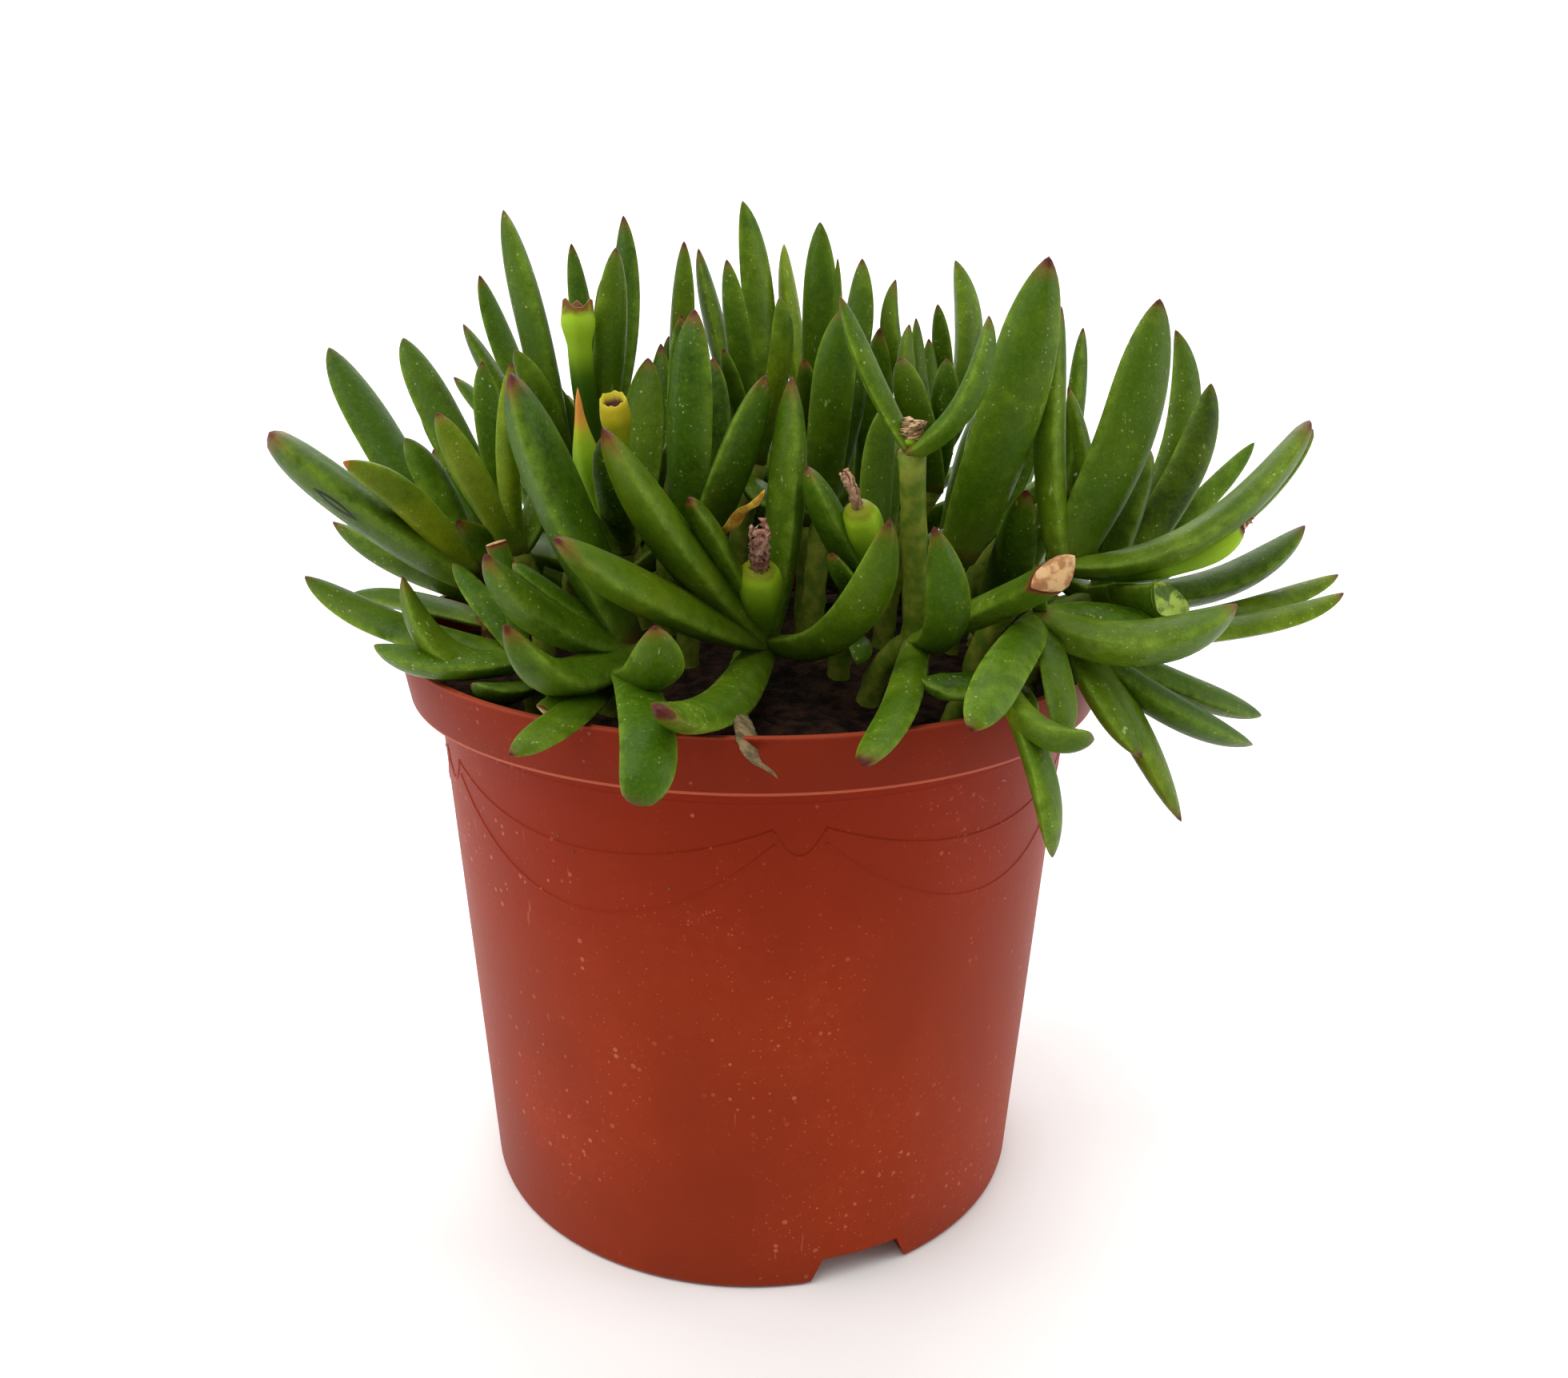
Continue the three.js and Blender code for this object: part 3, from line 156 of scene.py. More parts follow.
# Half width of the part's solids at shares of the length, which the bending goes by
SOLID_PROFILES = {
    "leaf": ((0, 0.34, 0.66, 0.88, 1), (0.62, 0.97, 0.98, 0.6, 0)),
    "slim": ((0, 0.46, 0.84, 1), (0.66, 1, 0.68, 0)),
    "blunt": ((0, 0.4, 0.85, 1), (0.62, 1, 0.98, 0.9)),
    "round": ((0, 0.35, 0.72, 0.92, 1), (0.62, 1, 0.98, 0.7, 0.3)),
    "capsule": ((0, 0.3, 0.62, 0.86, 1), (0.42, 0.6, 1, 0.96, 0.6)),
    "bud": ((0, 0.34, 0.52, 0.68, 0.84, 1), (0.3, 0.72, 1, 0.7, 0.28, 0)),
}
# Width of a capsule's stalk, how far up its profile that replaces, and the height of its teeth
STALK_SHARE = 0.72
STALK_TO = 0.4
TOOTH = 0.45

# The same, as smooth curves for the fine meshes
FINE_PROFILES = {
    "leaf": ((0, 0.08, 0.2, 0.36, 0.54, 0.7, 0.81, 0.89, 0.945, 0.975, 0.992, 1),
             (0.62, 0.78, 0.9, 0.98, 1, 0.94, 0.79, 0.59, 0.38, 0.21, 0.09, 0)),
    "slim": ((0, 0.1, 0.26, 0.46, 0.64, 0.78, 0.88, 0.94, 0.972, 0.992, 1),
             (0.66, 0.8, 0.93, 1, 0.97, 0.83, 0.61, 0.4, 0.23, 0.09, 0)),
    "blunt": ((0, 0.14, 0.3, 0.5, 0.7, 0.9, 0.985, 1), (0.62, 0.8, 0.95, 1, 1, 0.98, 0.95, 0.9)),
    "round": ((0, 0.12, 0.3, 0.5, 0.68, 0.8, 0.89, 0.95, 0.985, 1),
              (0.62, 0.8, 0.96, 1, 0.99, 0.92, 0.78, 0.58, 0.33, 0)),
    "capsule": ((0, 0.1, 0.3, 0.5, 0.66, 0.82, 0.93, 1),
                (0.42, 0.47, 0.62, 0.87, 1, 0.98, 0.84, 0.6)),
    "cup": ((0, 0.1, 0.3, 0.5, 0.66, 0.82, 0.93, 1), (0.42, 0.47, 0.62, 0.87, 1, 0.98, 0.92, 0.88)),
    "bud": ((0, 0.18, 0.34, 0.44, 0.53, 0.62, 0.72, 0.84, 0.94, 1),
            (0.3, 0.52, 0.76, 0.92, 1, 0.86, 0.58, 0.3, 0.16, 0)),
}
FINE_SIDES = 18
FINE_RINGS = 22
STEM_FINE_SIDES = 12
STEM_FINE_RINGS = 14
CAPSULE_SIDES = 20
CAPSULE_RINGS = 26
DRY_SIDES = 14
DRY_RINGS = 26
PETAL_RINGS = 21
CORE_SIDES = 8
CORE_RINGS = 6
RING_CROWDING = 1.45
# What a skin is, as the leaf and dry materials read it from its values
KINDS = {"leaf": 0.0, "stem": 1.0, "fruit": 2.0, "stub": 3.0, "petal": 4.0, "withered": 5.0}

# How the fine skins stray from the plain shapes, in half widths unless the name says otherwise
LEAF_WOBBLE = 0.035
WOBBLE_PER_MM = 0.16
SLANTED_RINGS = 6
EDGE_SHARPNESS = 8
KEEL_SHARE = 0.8
KEEL_REACH = 0.12
RIBS = 5
RIB_HEIGHT = 0.035
LIP_SHARE = 0.84
CUP_SHARE = 0.7
CUP_DEPTH = 0.3
CUP_STEPS = (1.03, 1.08)
KNOT_LEAST = 0.96
KNOT_MORE = 0.07
KNOTS_PER_RING = 2.4
PUCKER = 0.12
CURL = 0.25
CURL_TURNS = 19

# A dried petal: how its strip turns, leans out and frays
PETAL_TURN = 0.3
PETAL_REACH = (0.8, 0.98)
PETAL_FLARE = (-0.1, 0.3)
PETAL_TWIST = 1.1
PETAL_WAVE = 0.25
PETAL_WAVES = 5
PETAL_OUT = 0.5
PETAL_FRAY = 0.18
PETAL_BROAD = 0.42
PETAL_TAPER = 0.14
CORE_TO = 0.6
CORE_SHARES = (0.5, 0.42, 0.3)

# Stage, in metres: the floor, and each light's place, aim, size, the power it takes and its colour
FLOOR_HALF_WIDTH = 3.5
FLOOR_FRONT = -3.0
FLOOR_CURVE = 1.2
CURVE_RADIUS = 0.8
FLOOR_TOP = 3.0
AIM = (0, 0, 0.12)
WHITE = (1, 1, 1)
LIGHTS = (
    ("Key", (-0.3, -0.45, 1.15), AIM, (0.9, 0.7), "key_power", (1.0, 0.98, 0.95)),
    ("Left", (-0.9, -0.05, 0.45), AIM, (0.5, 0.8), "fill_power", WHITE),
    ("Right", (0.9, -0.05, 0.45), AIM, (0.5, 0.8), "fill_power", WHITE),
    ("Back", (0.1, 0.8, 0.75), AIM, (0.9, 0.3), "fill_power", WHITE),
    ("Backdrop", (0, 0.7, 1.7), (0, 2.0, 0.5), (2.4, 0.5), "backdrop_power", WHITE),
)

# Hidden stems, bending and gaps, as in the part's source
HIDDEN_RINGS = (
    {"radius": 55, "bearings": (-73, -49, -25, 0, 25, 50, 75),
     "rise": 10, "lean": 37, "length": 53},
    {"radius": 35, "bearings": (-54, -18, 14, 46), "rise": 23, "lean": 18, "length": 50},
)
HIDDEN_PAIRS = (
    {"drop": 7, "spread": 58, "share": 1},
    {"drop": 2, "spread": 34, "share": 0.96},
    {"drop": 0, "spread": 13, "share": 0.74},
)
HIDDEN_HALF_WIDTH = 4.6
TOP_PAIR_WIDTH = 0.8
HIDDEN_BOW = 0.1
HIDDEN_DROOP = 0.04
# How far the draws vary them: degrees, millimetres, radians, and least and added shares
VARY = {
    "bearing": 10, "foot": 5, "lean": 14, "rise": (0.85, 0.3),
    "round": 0.3, "spread": 12, "length": (0.88, 0.24), "width": (0.8, 0.45),
}
LOWEST_AIM = 0.2
SEED = 4116
CLEARANCE = 0.6
BEND_ROUNDS = 140
PUSH = 0.4
BEND_TO = 0.75
POT_PUSH = 0.5
LEAST_LEVER = 0.3
LEAST_SHARE = 0.08
HELD_SHARE = 0.1
BAND_REACH = 6
STEM_POINTS = 8
TINY = 1e-6
CROSSING = 0.4
BEND_SHARES = (0.14, 0.22, 0.3, 0.38, 0.46, 0.54, 0.62, 0.7, 0.78, 0.86, 0.93, 1)
SIGHT_LEAST = 0.45
NEAR = 26.0
LARGEST_MOVE = 1.2

def organ(tip, via, wide, tone=None, end=None, **more):
    """A leaf or capsule as it was measured, with what sets its look apart."""
    look = {"tone": tone, "end": end, **more}
    given = {key: value for key, value in look.items() if value is not None}
    return {"tip": tip, "via": via, "wide": wide, **given}

# The stems and leaves that show from the front. crown, tip and via are picture x, picture y and
# depth; foot is where the stem leaves the soil; wide is a leaf's width in picture units; up is
# how far up the stem it grows. tone runs from dark (-1) to light (1), sun from green (0) to
# yellow (1), and end is how red or brown its tip is. blunt, round, dry and bud choose its
# shape. A capsule has a stalk for that share of its length, ends at seat, and bears a dried
# flower as wide as bloom, pale or not; an open one has teeth round its cup. slant turns an end
# toward the eye, nearer brings it closer in millimetres, and start is where a withered leaf
# comes out.
SHOWN = (
    {"foot": (-54, -10), "crown": (590, 722, -10), "leaves": (
        organ((336, 540, -14), (472, 650, -14), 68, -0.1, 0.9, round=True, sun=0.1),
        organ((428, 577, -26), (513, 606, -23), 52, 0.3, 0.6, sun=0.8),
        organ((411, 434, 10), (470, 554, 4), 58, 0.0, 0.2),
        organ((506, 547, -6), (552, 612, -8), 48, 0.25, 0.2),
        organ((438, 743, 8), (505, 754, 6), 34, 0.1, 0.2, up=0.5),
    )},
    {"foot": (-42, -36), "crown": (655, 822, -40), "leaves": (
        organ((381, 720, -24), (476, 799, -30), 48, -0.1, 0.3),
        organ((503, 720, -44), (541, 859, -46), 48, -0.1, 0.5),
        organ((468, 806, -42), (542, 876, -50), 48, 0.0, 0.4),
        organ((566, 704, -30), (614, 767, -36), 34, 0.1, 0.2),
        organ((620, 678, -42), (642, 740, -42), 28, 0.1, 1, blunt=True),
        organ((588, 856, -50), (630, 876, -52), 36, -0.2, 0.5, up=0.5),
    )},
    {"foot": (-28, -38), "crown": (788, 803, -42), "leaves": (
        organ((638, 466, -50), (697, 622, -46), 84, -0.2, 0.9, sun=0),
        organ((606, 692, -60), (663, 792, -54), 64, -0.05, 0.8),
        organ((631, 780, -72), (696, 900, -66), 62, -0.1, 0.8),
        organ((636, 944, -86), (708, 916, -80), 46, 0.1, 0.7, up=0.5),
        organ((817, 782, -76), (835, 880, -75), 66, -0.1, 0.9, up=0.6),
        organ((793, 1006, -92), (840, 912, -94), 70, -0.1, 0.3, up=0.7, round=True, sun=0.0),
        organ((641, 703, -48), (666, 731, -50), 32, -0.2, 0.9),
        organ((684, 897, -68), (700, 872, -66), 32, 0.2, 0.5, up=0.5, blunt=True),
        organ((742, 640, -30), (752, 730, -34), 44, -0.5, 0.3),
    )},
    {"foot": (-44, -11), "crown": (648, 690, -14), "leaves": (
        organ((640, 452, -30), (626, 570, -32), 30, 0.6, 0.9, sun=0.4),
        organ((603, 451, -12), (606, 548, -18), 36, -0.1, 0.4),
        organ((546, 516, -27), (586, 594, -24), 48, 0.1, 0.9, sun=0.5),
        organ((504, 422, 4), (544, 522, -2), 52, -0.1, 0.1),
        organ((527, 506, 0), (552, 562, -6), 30, 0.4, 0.2),
        organ((694, 556, -8), (676, 640, -10), 42, -0.5, 0.3),
    )},
    {"foot": (-40, 8), "crown": (712, 620, 6), "leaves": (
        organ((579, 405, 6), (634, 498, 6), 32, 0.0, 0.5),
        organ((599, 343, 20), (634, 466, 16), 38, 0.05, 0.5),
        organ((629, 262, 2), (676, 413, 0), 48, -0.1, 0.3),
        organ((567, 471, 20), (628, 535, 18), 32, 0.1, 0.5),
        organ((643, 437, -10), (684, 505, -8), 42, 0.2, 0.2),
    )},
    {"foot": (-33, -3), "crown": (748, 580, 0), "leaves": (
        organ((770, 309, -6), (764, 430, -8), 42, 0.1, 0.4),
        organ((779, 269, 12), (796, 412, 10), 42, -0.2, 0.5),
        organ((714, 304, 16), (731, 422, 12), 30, 0.1, 0.5),
        organ((753, 347, 22), (752, 440, 16), 24, 0.1, 0.2),
    ), "capsules": (
        organ((722, 384, -10), (724, 480, -12), 42, stalk=0.66, teeth=3, end=0.9, sun=0.8),
    )},
    {"foot": (-28, -18), "crown": (778, 690, -20), "leaves": (
        organ((753, 546, -38), (768, 620, -36), 46, -0.7, 0.3),
        organ((810, 447, -10), (808, 560, -14), 58, -0.2, 0.7),
        organ((826, 429, 6), (828, 540, 0), 34, -0.3, 0.9),
        organ((640, 650, 4), (690, 715, -8), 48, -0.4, 0.3),
    ), "capsules": (
        organ((722, 484, -30), (726, 590, -34), 38, bud=True, sun=1.0, end=0.6),
        organ((766, 500, -26), (782, 590, -26), 38, stalk=0.6, sun=0.9, end=0, teeth=12, slant=0.5),
    )},
    {"foot": (-14, -14), "crown": (868, 700, -20), "leaves": (
        organ((868, 386, -28), (853, 545, -34), 68, -0.3, 0.95, sun=0),
        organ((957, 469, -32), (916, 585, -32), 60, -0.25, 0.8, sun=0),
        organ((890, 448, -12), (902, 545, -16), 44, -0.3, 0.9),
        organ((852, 392, -10), (840, 500, -12), 30, -0.3, 1),
        organ((957, 614, -46), (912, 657, -44), 14, dry=True, sun=1.0),
    )},
    {"foot": (-20, 10), "crown": (850, 570, 10), "leaves": (
        organ((855, 301, 8), (852, 430, 6), 34, 0.0, 0.5),
        organ((836, 420, 18), (841, 495, 14), 32, -0.3, 0.6),
    )},
    {"foot": (-5, 6), "crown": (945, 580, 8), "leaves": (
        organ((908, 324, 0), (925, 440, -2), 38, 0.2, 0.5),
        organ((928, 251, 16), (962, 384, 16), 46, 0.5, 0.1, sun=0.2),
        organ((904, 436, -8), (920, 495, -6), 26, -0.1, 0.5),
        organ((974, 372, -4), (990, 436, -6), 30, 0.6, 0.2, sun=0.4),
        organ((873, 310, 14), (899, 435, 12), 34, 0.3, 0.8),
    )},
    {"foot": (11, 8), "crown": (1025, 590, 10), "leaves": (
        organ((980, 304, 16), (990, 430, 14), 34, 0.7, 0.1, sun=0.4),
        organ((1025, 277, 4), (1024, 420, 2), 48, -0.1, 0.1),
        organ((1078, 321, 20), (1080, 440, 18), 44, 0.1, 0.4),
        organ((1005, 448, -10), (1012, 520, -8), 34, -0.5, 1),
    )},
    {"foot": (-3, -20), "crown": (958, 800, -24), "leaves": (
        organ((692, 672, -70), (815, 758, -56), 68, 0.0, 0.9, sun=0.3),
        organ((753, 534, -54), (842, 690, -48), 72, 0.15, 1, sun=0.35),
        organ((990, 468, -36), (998, 640, -40), 62, 0.05, 0.9, sun=0.1),
        organ((1113, 648, -60), (1080, 844, -58), 60, 0.1, 0.5, sun=0.2),
        organ((820, 886, -86), (905, 933, -72), 60, 0.15, 0.5, round=True, sun=0.1),
        organ((970, 977, -86), (882, 926, -68), 30, dry=True, start=0.42),
        organ((860, 622, -48), (897, 669, -44), 44, -0.25, 0.8),
    ), "capsules": (
        organ((952, 652, -40), (944, 722, -40), 56, seat=0.62, bloom=30, sun=0.8, nearer=6),
    )},
    {"foot": (22, -34), "crown": (1140, 564, -46), "knee": (1145, 795, -38), "leaves": (
        organ((1050, 370, -42), (1084, 470, -44), 34, 0.2, 0.8),
        organ((1236, 394, -48), (1228, 515, -54), 42, 0.0, 0.7),
        organ((1167, 658, -58), (1215, 830, -60), 58, 0.1, 0.5, up=0.5),
        organ((1078, 955, -88), (1136, 895, -72), 48, 0.15, 0.5, up=0.5, round=True, sun=0.1),
        organ((1318, 716, -64), (1276, 744, -46), 52, 0.1, 1, up=0.5, blunt=True),
    ), "capsules": (
        organ((1140, 524, -47), (1141, 542, -47), 24, seat=0.45, bloom=40, pale=0.7),
    )},
    {"foot": (17, -20), "crown": (1094, 742, -28), "leaves": (
        organ((1009, 583, -38), (1045, 660, -38), 54, -0.1, 0.8),
        organ((1040, 691, -50), (1054, 736, -46), 32, -0.4, 0.9),
        organ((1108, 505, -24), (1086, 600, -26), 48, -0.2, 0.6),
        organ((1124, 560, -16), (1104, 640, -18), 32, -0.1, 0.7),
        organ((1050, 650, -36), (1064, 706, -34), 40, -0.3, 0.5),
        organ((1072, 832, -40), (1084, 790, -36), 30, -0.4, 0, up=0.4),
    ), "capsules": (
        organ((1056, 588, -46), (1086, 660, -44), 50,
              seat=0.7, bloom=18, sun=0.8, pale=0.3, nearer=3),
    )},
    {"foot": (12, -9), "crown": (1028, 640, -6), "leaves": (
        organ((1056, 384, -18), (1034, 500, -18), 54, 0.0, 0.8),
        organ((1080, 445, -10), (1052, 550, -8), 46, -0.2, 0.7),
        organ((1047, 322, -2), (1050, 450, -2), 18, 0.2, 0.3),
        organ((1010, 590, -12), (1016, 620, -10), 44, -0.5, 0),
        organ((930, 590, 10), (965, 650, 2), 44, -0.4, 0.3),
    )},
    {"foot": (28, 2), "crown": (1165, 610, -2), "leaves": (
        organ((1137, 405, 2), (1124, 490, 0), 32),
        organ((1125, 446, -14), (1146, 515, -14), 52),
        organ((1183, 448, -14), (1184, 520, -14), 38),
        organ((1161, 423, 10), (1162, 500, 8), 26),
        organ((1145, 397, 6), (1149, 496, 4), 26),
    )},
    {"foot": (30, 18), "crown": (1180, 560, 20), "leaves": (
        organ((1120, 349, 20), (1094, 450, 20), 34),
        organ((1172, 380, 12), (1180, 460, 12), 30),
        organ((1194, 325, 24), (1237, 432, 22), 44),
        organ((1155, 470, 22), (1166, 520, 22), 20),
    )},
    {"foot": (34, -14), "crown": (1196, 700, -20), "leaves": (
        organ((1311, 322, -30), (1272, 513, -34), 80, 0.15, 0.8, sun=0.1),
        organ((1240, 600, -8), (1226, 650, -12), 34, -0.3, 0.5),
        organ((1290, 520, -6), (1262, 620, -14), 50, -0.4, 0.3),
    )},
    {"foot": (44, -22), "crown": (1328, 706, -28), "leaves": (
        organ((1327, 381, -26), (1303, 550, -32), 52, 0.2, 0.6),
        organ((1450, 373, -22), (1419, 552, -28), 80, -0.05, 0.4),
        organ((1637, 525, -28), (1516, 718, -40), 50, 0.3, 0.7, round=True, sun=0.2),
        organ((1639, 534, -18), (1534, 712, -30), 44, 0.0, 0.3, round=True),
    ), "capsules": (
        organ((1566, 624, -26), (1508, 740, -30), 40,
              seat=0.84, bloom=34, stalk=0.4, sun=0.1, pale=0.3, end=1),
    )},
    {"foot": (42, 0), "crown": (1330, 620, 0), "leaves": (
        organ((1354, 409, 4), (1350, 510, 2), 30, 0.1, 0.4),
        organ((1294, 442, 6), (1302, 540, 2), 46, -0.4, 0.3),
        organ((1398, 552, 4), (1376, 600, 2), 44, -0.5, 0.3),
    )},
    {"foot": (52, -10), "crown": (1374, 745, -14), "leaves": (
        organ((1438, 563, -14), (1417, 635, -18), 46, -0.3, 0.5),
        organ((1514, 479, -2), (1501, 600, -8), 50, -0.6, 0.2),
        organ((1469, 412, 12), (1520, 542, 6), 46, -0.2, 0.3),
        organ((1632, 656, -12), (1544, 754, -18), 52, -0.1, 0.6),
        organ((1462, 750, -38), (1424, 753, -26), 50, 0.0, 0, blunt=True, slant=1.2, nearer=7),
        organ((1335, 483, -10), (1370, 586, -12), 30, 0.2, 0.6),
        organ((1478, 670, -6), (1446, 702, -10), 24),
        organ((1568, 553, 6), (1500, 640, -2), 30, 0.5, 0),
        organ((1310, 690, 2), (1340, 735, -8), 40, -0.4, 0.3),
    )},
    {"foot": (44, -38), "crown": (1302, 772, -44), "leaves": (
        organ((1546, 755, -50), (1430, 837, -56), 72, 0.1, 1.0),
        organ((1213, 914, -84), (1244, 850, -74), 60, 0.3, 0.6),
        organ((1328, 925, -70), (1330, 856, -66), 44, -0.2, 0.3),
        organ((1291, 903, -68), (1288, 852, -64), 24, -0.3, 0.3, up=0.3),
        organ((1297, 705, -50), (1296, 742, -48), 26, -0.3, 0.4),
        organ((1470, 790, -30), (1390, 765, -36), 44, -0.4, 0.3),
    )},
    {"foot": (54, -26), "crown": (1340, 797, -32), "leaves": (
        organ((1673, 718, -12), (1584, 774, -20), 34, 0.3, 0.6, sun=0.3),
        organ((1680, 741, -26), (1594, 799, -30), 36, 0.3, 0.9, sun=0.3),
        organ((1577, 894, -32), (1482, 882, -38), 46, -0.1, 0.2),
        organ((1566, 931, -42), (1425, 902, -52), 52, -0.1, 0.2),
        organ((1477, 1028, -54), (1358, 876, -50), 48, 0.1, 0.6, sun=0.3),
        organ((1428, 948, -62), (1356, 880, -58), 46, -0.1, 0.5),
    )},
    {"foot": (36, -50), "crown": (1250, 845, -57), "leaves": (
        organ((1368, 924, -78), (1290, 936, -84), 46, 0.2, 1, sun=0.3),
        organ((1152, 848, -62), (1190, 870, -66), 44, -0.7, 0),
        organ((1316, 1072, -76), (1317, 948, -82), 46, 0.3, 0.3),
    )},
)

class Leaf:
    """A leaf, capsule or bud: a curve from root through via to tip, with a section across it."""

    def __init__(self, root, via, tip, sighted):
        self.root = root
        self.via = via
        self.tip = tip
        self.sighted = sighted
        self.shape = "leaf"
        self.thickness = LEAF_THICKNESS
        self.seat = None
        self.stalk = 0.0
        self.bloom = 0.0
        self.dry = False
        self.look = {}

    def at(self, t):
        return bezier(self.root, self.via, self.tip, t)

    def along(self, t):
        return unit((1 - t) * (self.via - self.root) + t * (self.tip - self.via))

class Shoot:
    """A stem with its leaves and capsules, which stands for one node of the frame."""

    def __init__(self, number, path):
        self.number = number
        self.name = f"leafy_stem_{number:02d}"
        self.path = path
        self.leaves = []

def unit(vector):
    return vector / np.linalg.norm(vector)

def bezier(start, via, end, t):
    return (1 - t) ** 2 * start + 2 * t * (1 - t) * via + t ** 2 * end

def seen(place):
    """The point seen at picture x, y that lies that far behind (+) or in front of (-) the axis."""
    x, y, depth = place
    ray = AHEAD + PICTURE_RIGHT * (x - PICTURE_CENTRE[0]) / FOCAL
    ray = ray + PICTURE_UP * (PICTURE_CENTRE[1] - y) / FOCAL
    return EYE + ray * (depth - EYE[1]) / ray[1]

def soil_height(x, y):
    share = math.hypot(x, y) / (RIM_RADIUS - WALL)
    return SOIL_EDGE + SOIL_MOUND * (1 - share * share)

def stem_path(foot, crown, knee=None):
    """Five points up the middle of a stem, from the soil to its crown."""
    ground = np.array([foot[0], foot[1], soil_height(*foot)], dtype=float)
    bend = crown if knee is None else knee
    rise = ground + np.array([0, 0, STEM_SPRING * max(bend[2] - ground[2], LEAST_RISE)])
    if knee is not None:
        low = bezier(ground, rise, knee, 0.5)
        return np.array([ground, low, knee, 0.5 * (knee + crown), crown])
    return np.array([bezier(ground, rise, crown, t) for t in (0, 0.25, 0.5, 0.75, 1)])

def point_along(path, share):
    place = share * (len(path) - 1)
    k = min(int(place), len(path) - 2)
    return path[k] + (place - k) * (path[k + 1] - path[k])

def set_axes(leaf, path):
    """Two directions across a leaf: along its width, and toward the stem that it grows from."""
    chord = leaf.tip - leaf.root
    crown = path[-1]
    axis = unit(unit(crown - path[2]) + AXIS_LIFT)
    to_axis = crown + axis * AIM_SHARE * np.linalg.norm(chord) - leaf.at(0.5)
    leaf.across = unit(np.cross(to_axis, unit(chord)))
    leaf.inner = unit(np.cross(unit(chord), leaf.across))

def fit_width(leaf, wide):
    """The half width that gives a leaf its measured width as the eye sees it."""
    middle = leaf.at(0.5)
    side = unit(np.cross(unit(middle - EYE), unit(leaf.tip - leaf.root)))
    turned = math.hypot(leaf.across @ side, leaf.thickness * (leaf.inner @ side))
    leaf.half = 0.5 * wide * ((middle - EYE) @ AHEAD / FOCAL) / turned

def shown_shoot(number, entry):
    knee = seen(entry["knee"]) if "knee" in entry else None
    shoot = Shoot(number, stem_path(entry["foot"], seen(entry["crown"]), knee))
    for spec in entry["leaves"]:
        root = point_along(shoot.path, spec.get("up", 1))
        leaf = Leaf(root, seen(spec["via"]), seen(spec["tip"]), True)
        leaf.dry = spec.get("dry", False)
        leaf.shape = "slim" if spec["wide"] < SLIM_WIDTH else "leaf"
        for shape in ("blunt", "round"):
            leaf.shape = shape if spec.get(shape) else leaf.shape
        leaf.thickness = WITHERED_THICKNESS if leaf.dry else LEAF_THICKNESS
        leaf.look = spec
        set_axes(leaf, shoot.path)
        fit_width(leaf, spec["wide"])
        shoot.leaves.append(leaf)
    for spec in entry.get("capsules", ()):
        fruit = Leaf(shoot.path[-1], seen(spec["via"]), seen(spec["tip"]), True)
        fruit.seat = spec.get("seat", 1)
        fruit.stalk = spec.get("stalk", 0)
        fruit.bloom = spec.get("bloom", 0) / spec["wide"]
        fruit.shape = "bud" if spec.get("bud") else "capsule"
        fruit.thickness = 1
        fruit.look = spec
        set_axes(fruit, shoot.path)
        fit_width(fruit, spec["wide"])
        shoot.leaves.append(fruit)
    return shoot

class Draw:
    """Draws from 0 to 1 that are the same each time, and the same as in the part's source."""

    def __init__(self, seed):
        self.state = seed

    def __call__(self):
        self.state = (self.state * 1664525 + 1013904223) & 0xFFFFFFFF
        return self.state / 4294967296

def drawn_share(draw, least, more):
    return least + more * draw()

def hidden_shoot(number, ring, bearing, draw):
    """A stem that the front ones hide, with opposite pairs each turned a quarter from the last."""
    turn = math.radians(bearing + VARY["bearing"] * (draw() - 0.5))
    out = np.array([math.sin(turn), math.cos(turn), 0])
    foot = tuple(out[k] * (ring["radius"] - VARY["foot"] * draw()) for k in (0, 1))
    tilt = math.radians(ring["lean"] + VARY["lean"] * (draw() - 0.5))
    axis = out * math.sin(tilt) + np.array([0, 0, math.cos(tilt)])
    crown = np.array([foot[0], foot[1], soil_height(*foot)])
    crown = crown + axis * ring["rise"] * drawn_share(draw, *VARY["rise"])
    shoot = Shoot(number, stem_path(foot, crown))
    first = unit(np.cross(out, axis))
    second = unit(np.cross(axis, first))
    start = math.pi * draw()
    for pair, spec in enumerate(HIDDEN_PAIRS):
        for half in (0, 1):
            turn = start + pair * math.pi / 2 + half * math.pi + VARY["round"] * (draw() - 0.5)
            away = first * math.cos(turn) + second * math.sin(turn)
            spread = math.radians(spec["spread"] + VARY["spread"] * (draw() - 0.5))
            reach = ring["length"] * spec["share"] * drawn_share(draw, *VARY["length"])
            aim = axis * math.cos(spread) + away * math.sin(spread)
            aim[2] = max(aim[2], LOWEST_AIM)
            aim = unit(aim)
            root = crown - axis * spec["drop"]
            via = root + aim * 0.5 * reach + away * HIDDEN_BOW * reach - axis * HIDDEN_DROOP * reach
            leaf = Leaf(root, via, root + aim * reach, False)
            leaf.half = HIDDEN_HALF_WIDTH * drawn_share(draw, *VARY["width"])
            leaf.half *= TOP_PAIR_WIDTH if pair == 2 else 1
            leaf.shape = "slim" if pair == 2 else "leaf"
            set_axes(leaf, shoot.path)
            shoot.leaves.append(leaf)
    return shoot

def stalked(stalk, profile):
    """A capsule's profile above a stalk that takes up that share of its length."""
    ends, shares = profile
    if not stalk:
        return ends, shares
    shares = [STALK_SHARE if end < STALK_TO else share for end, share in zip(ends, shares)]
    ends = [stalk + (1 - stalk) * end for end in ends]
    return [0, *ends], [STALK_SHARE, *shares]

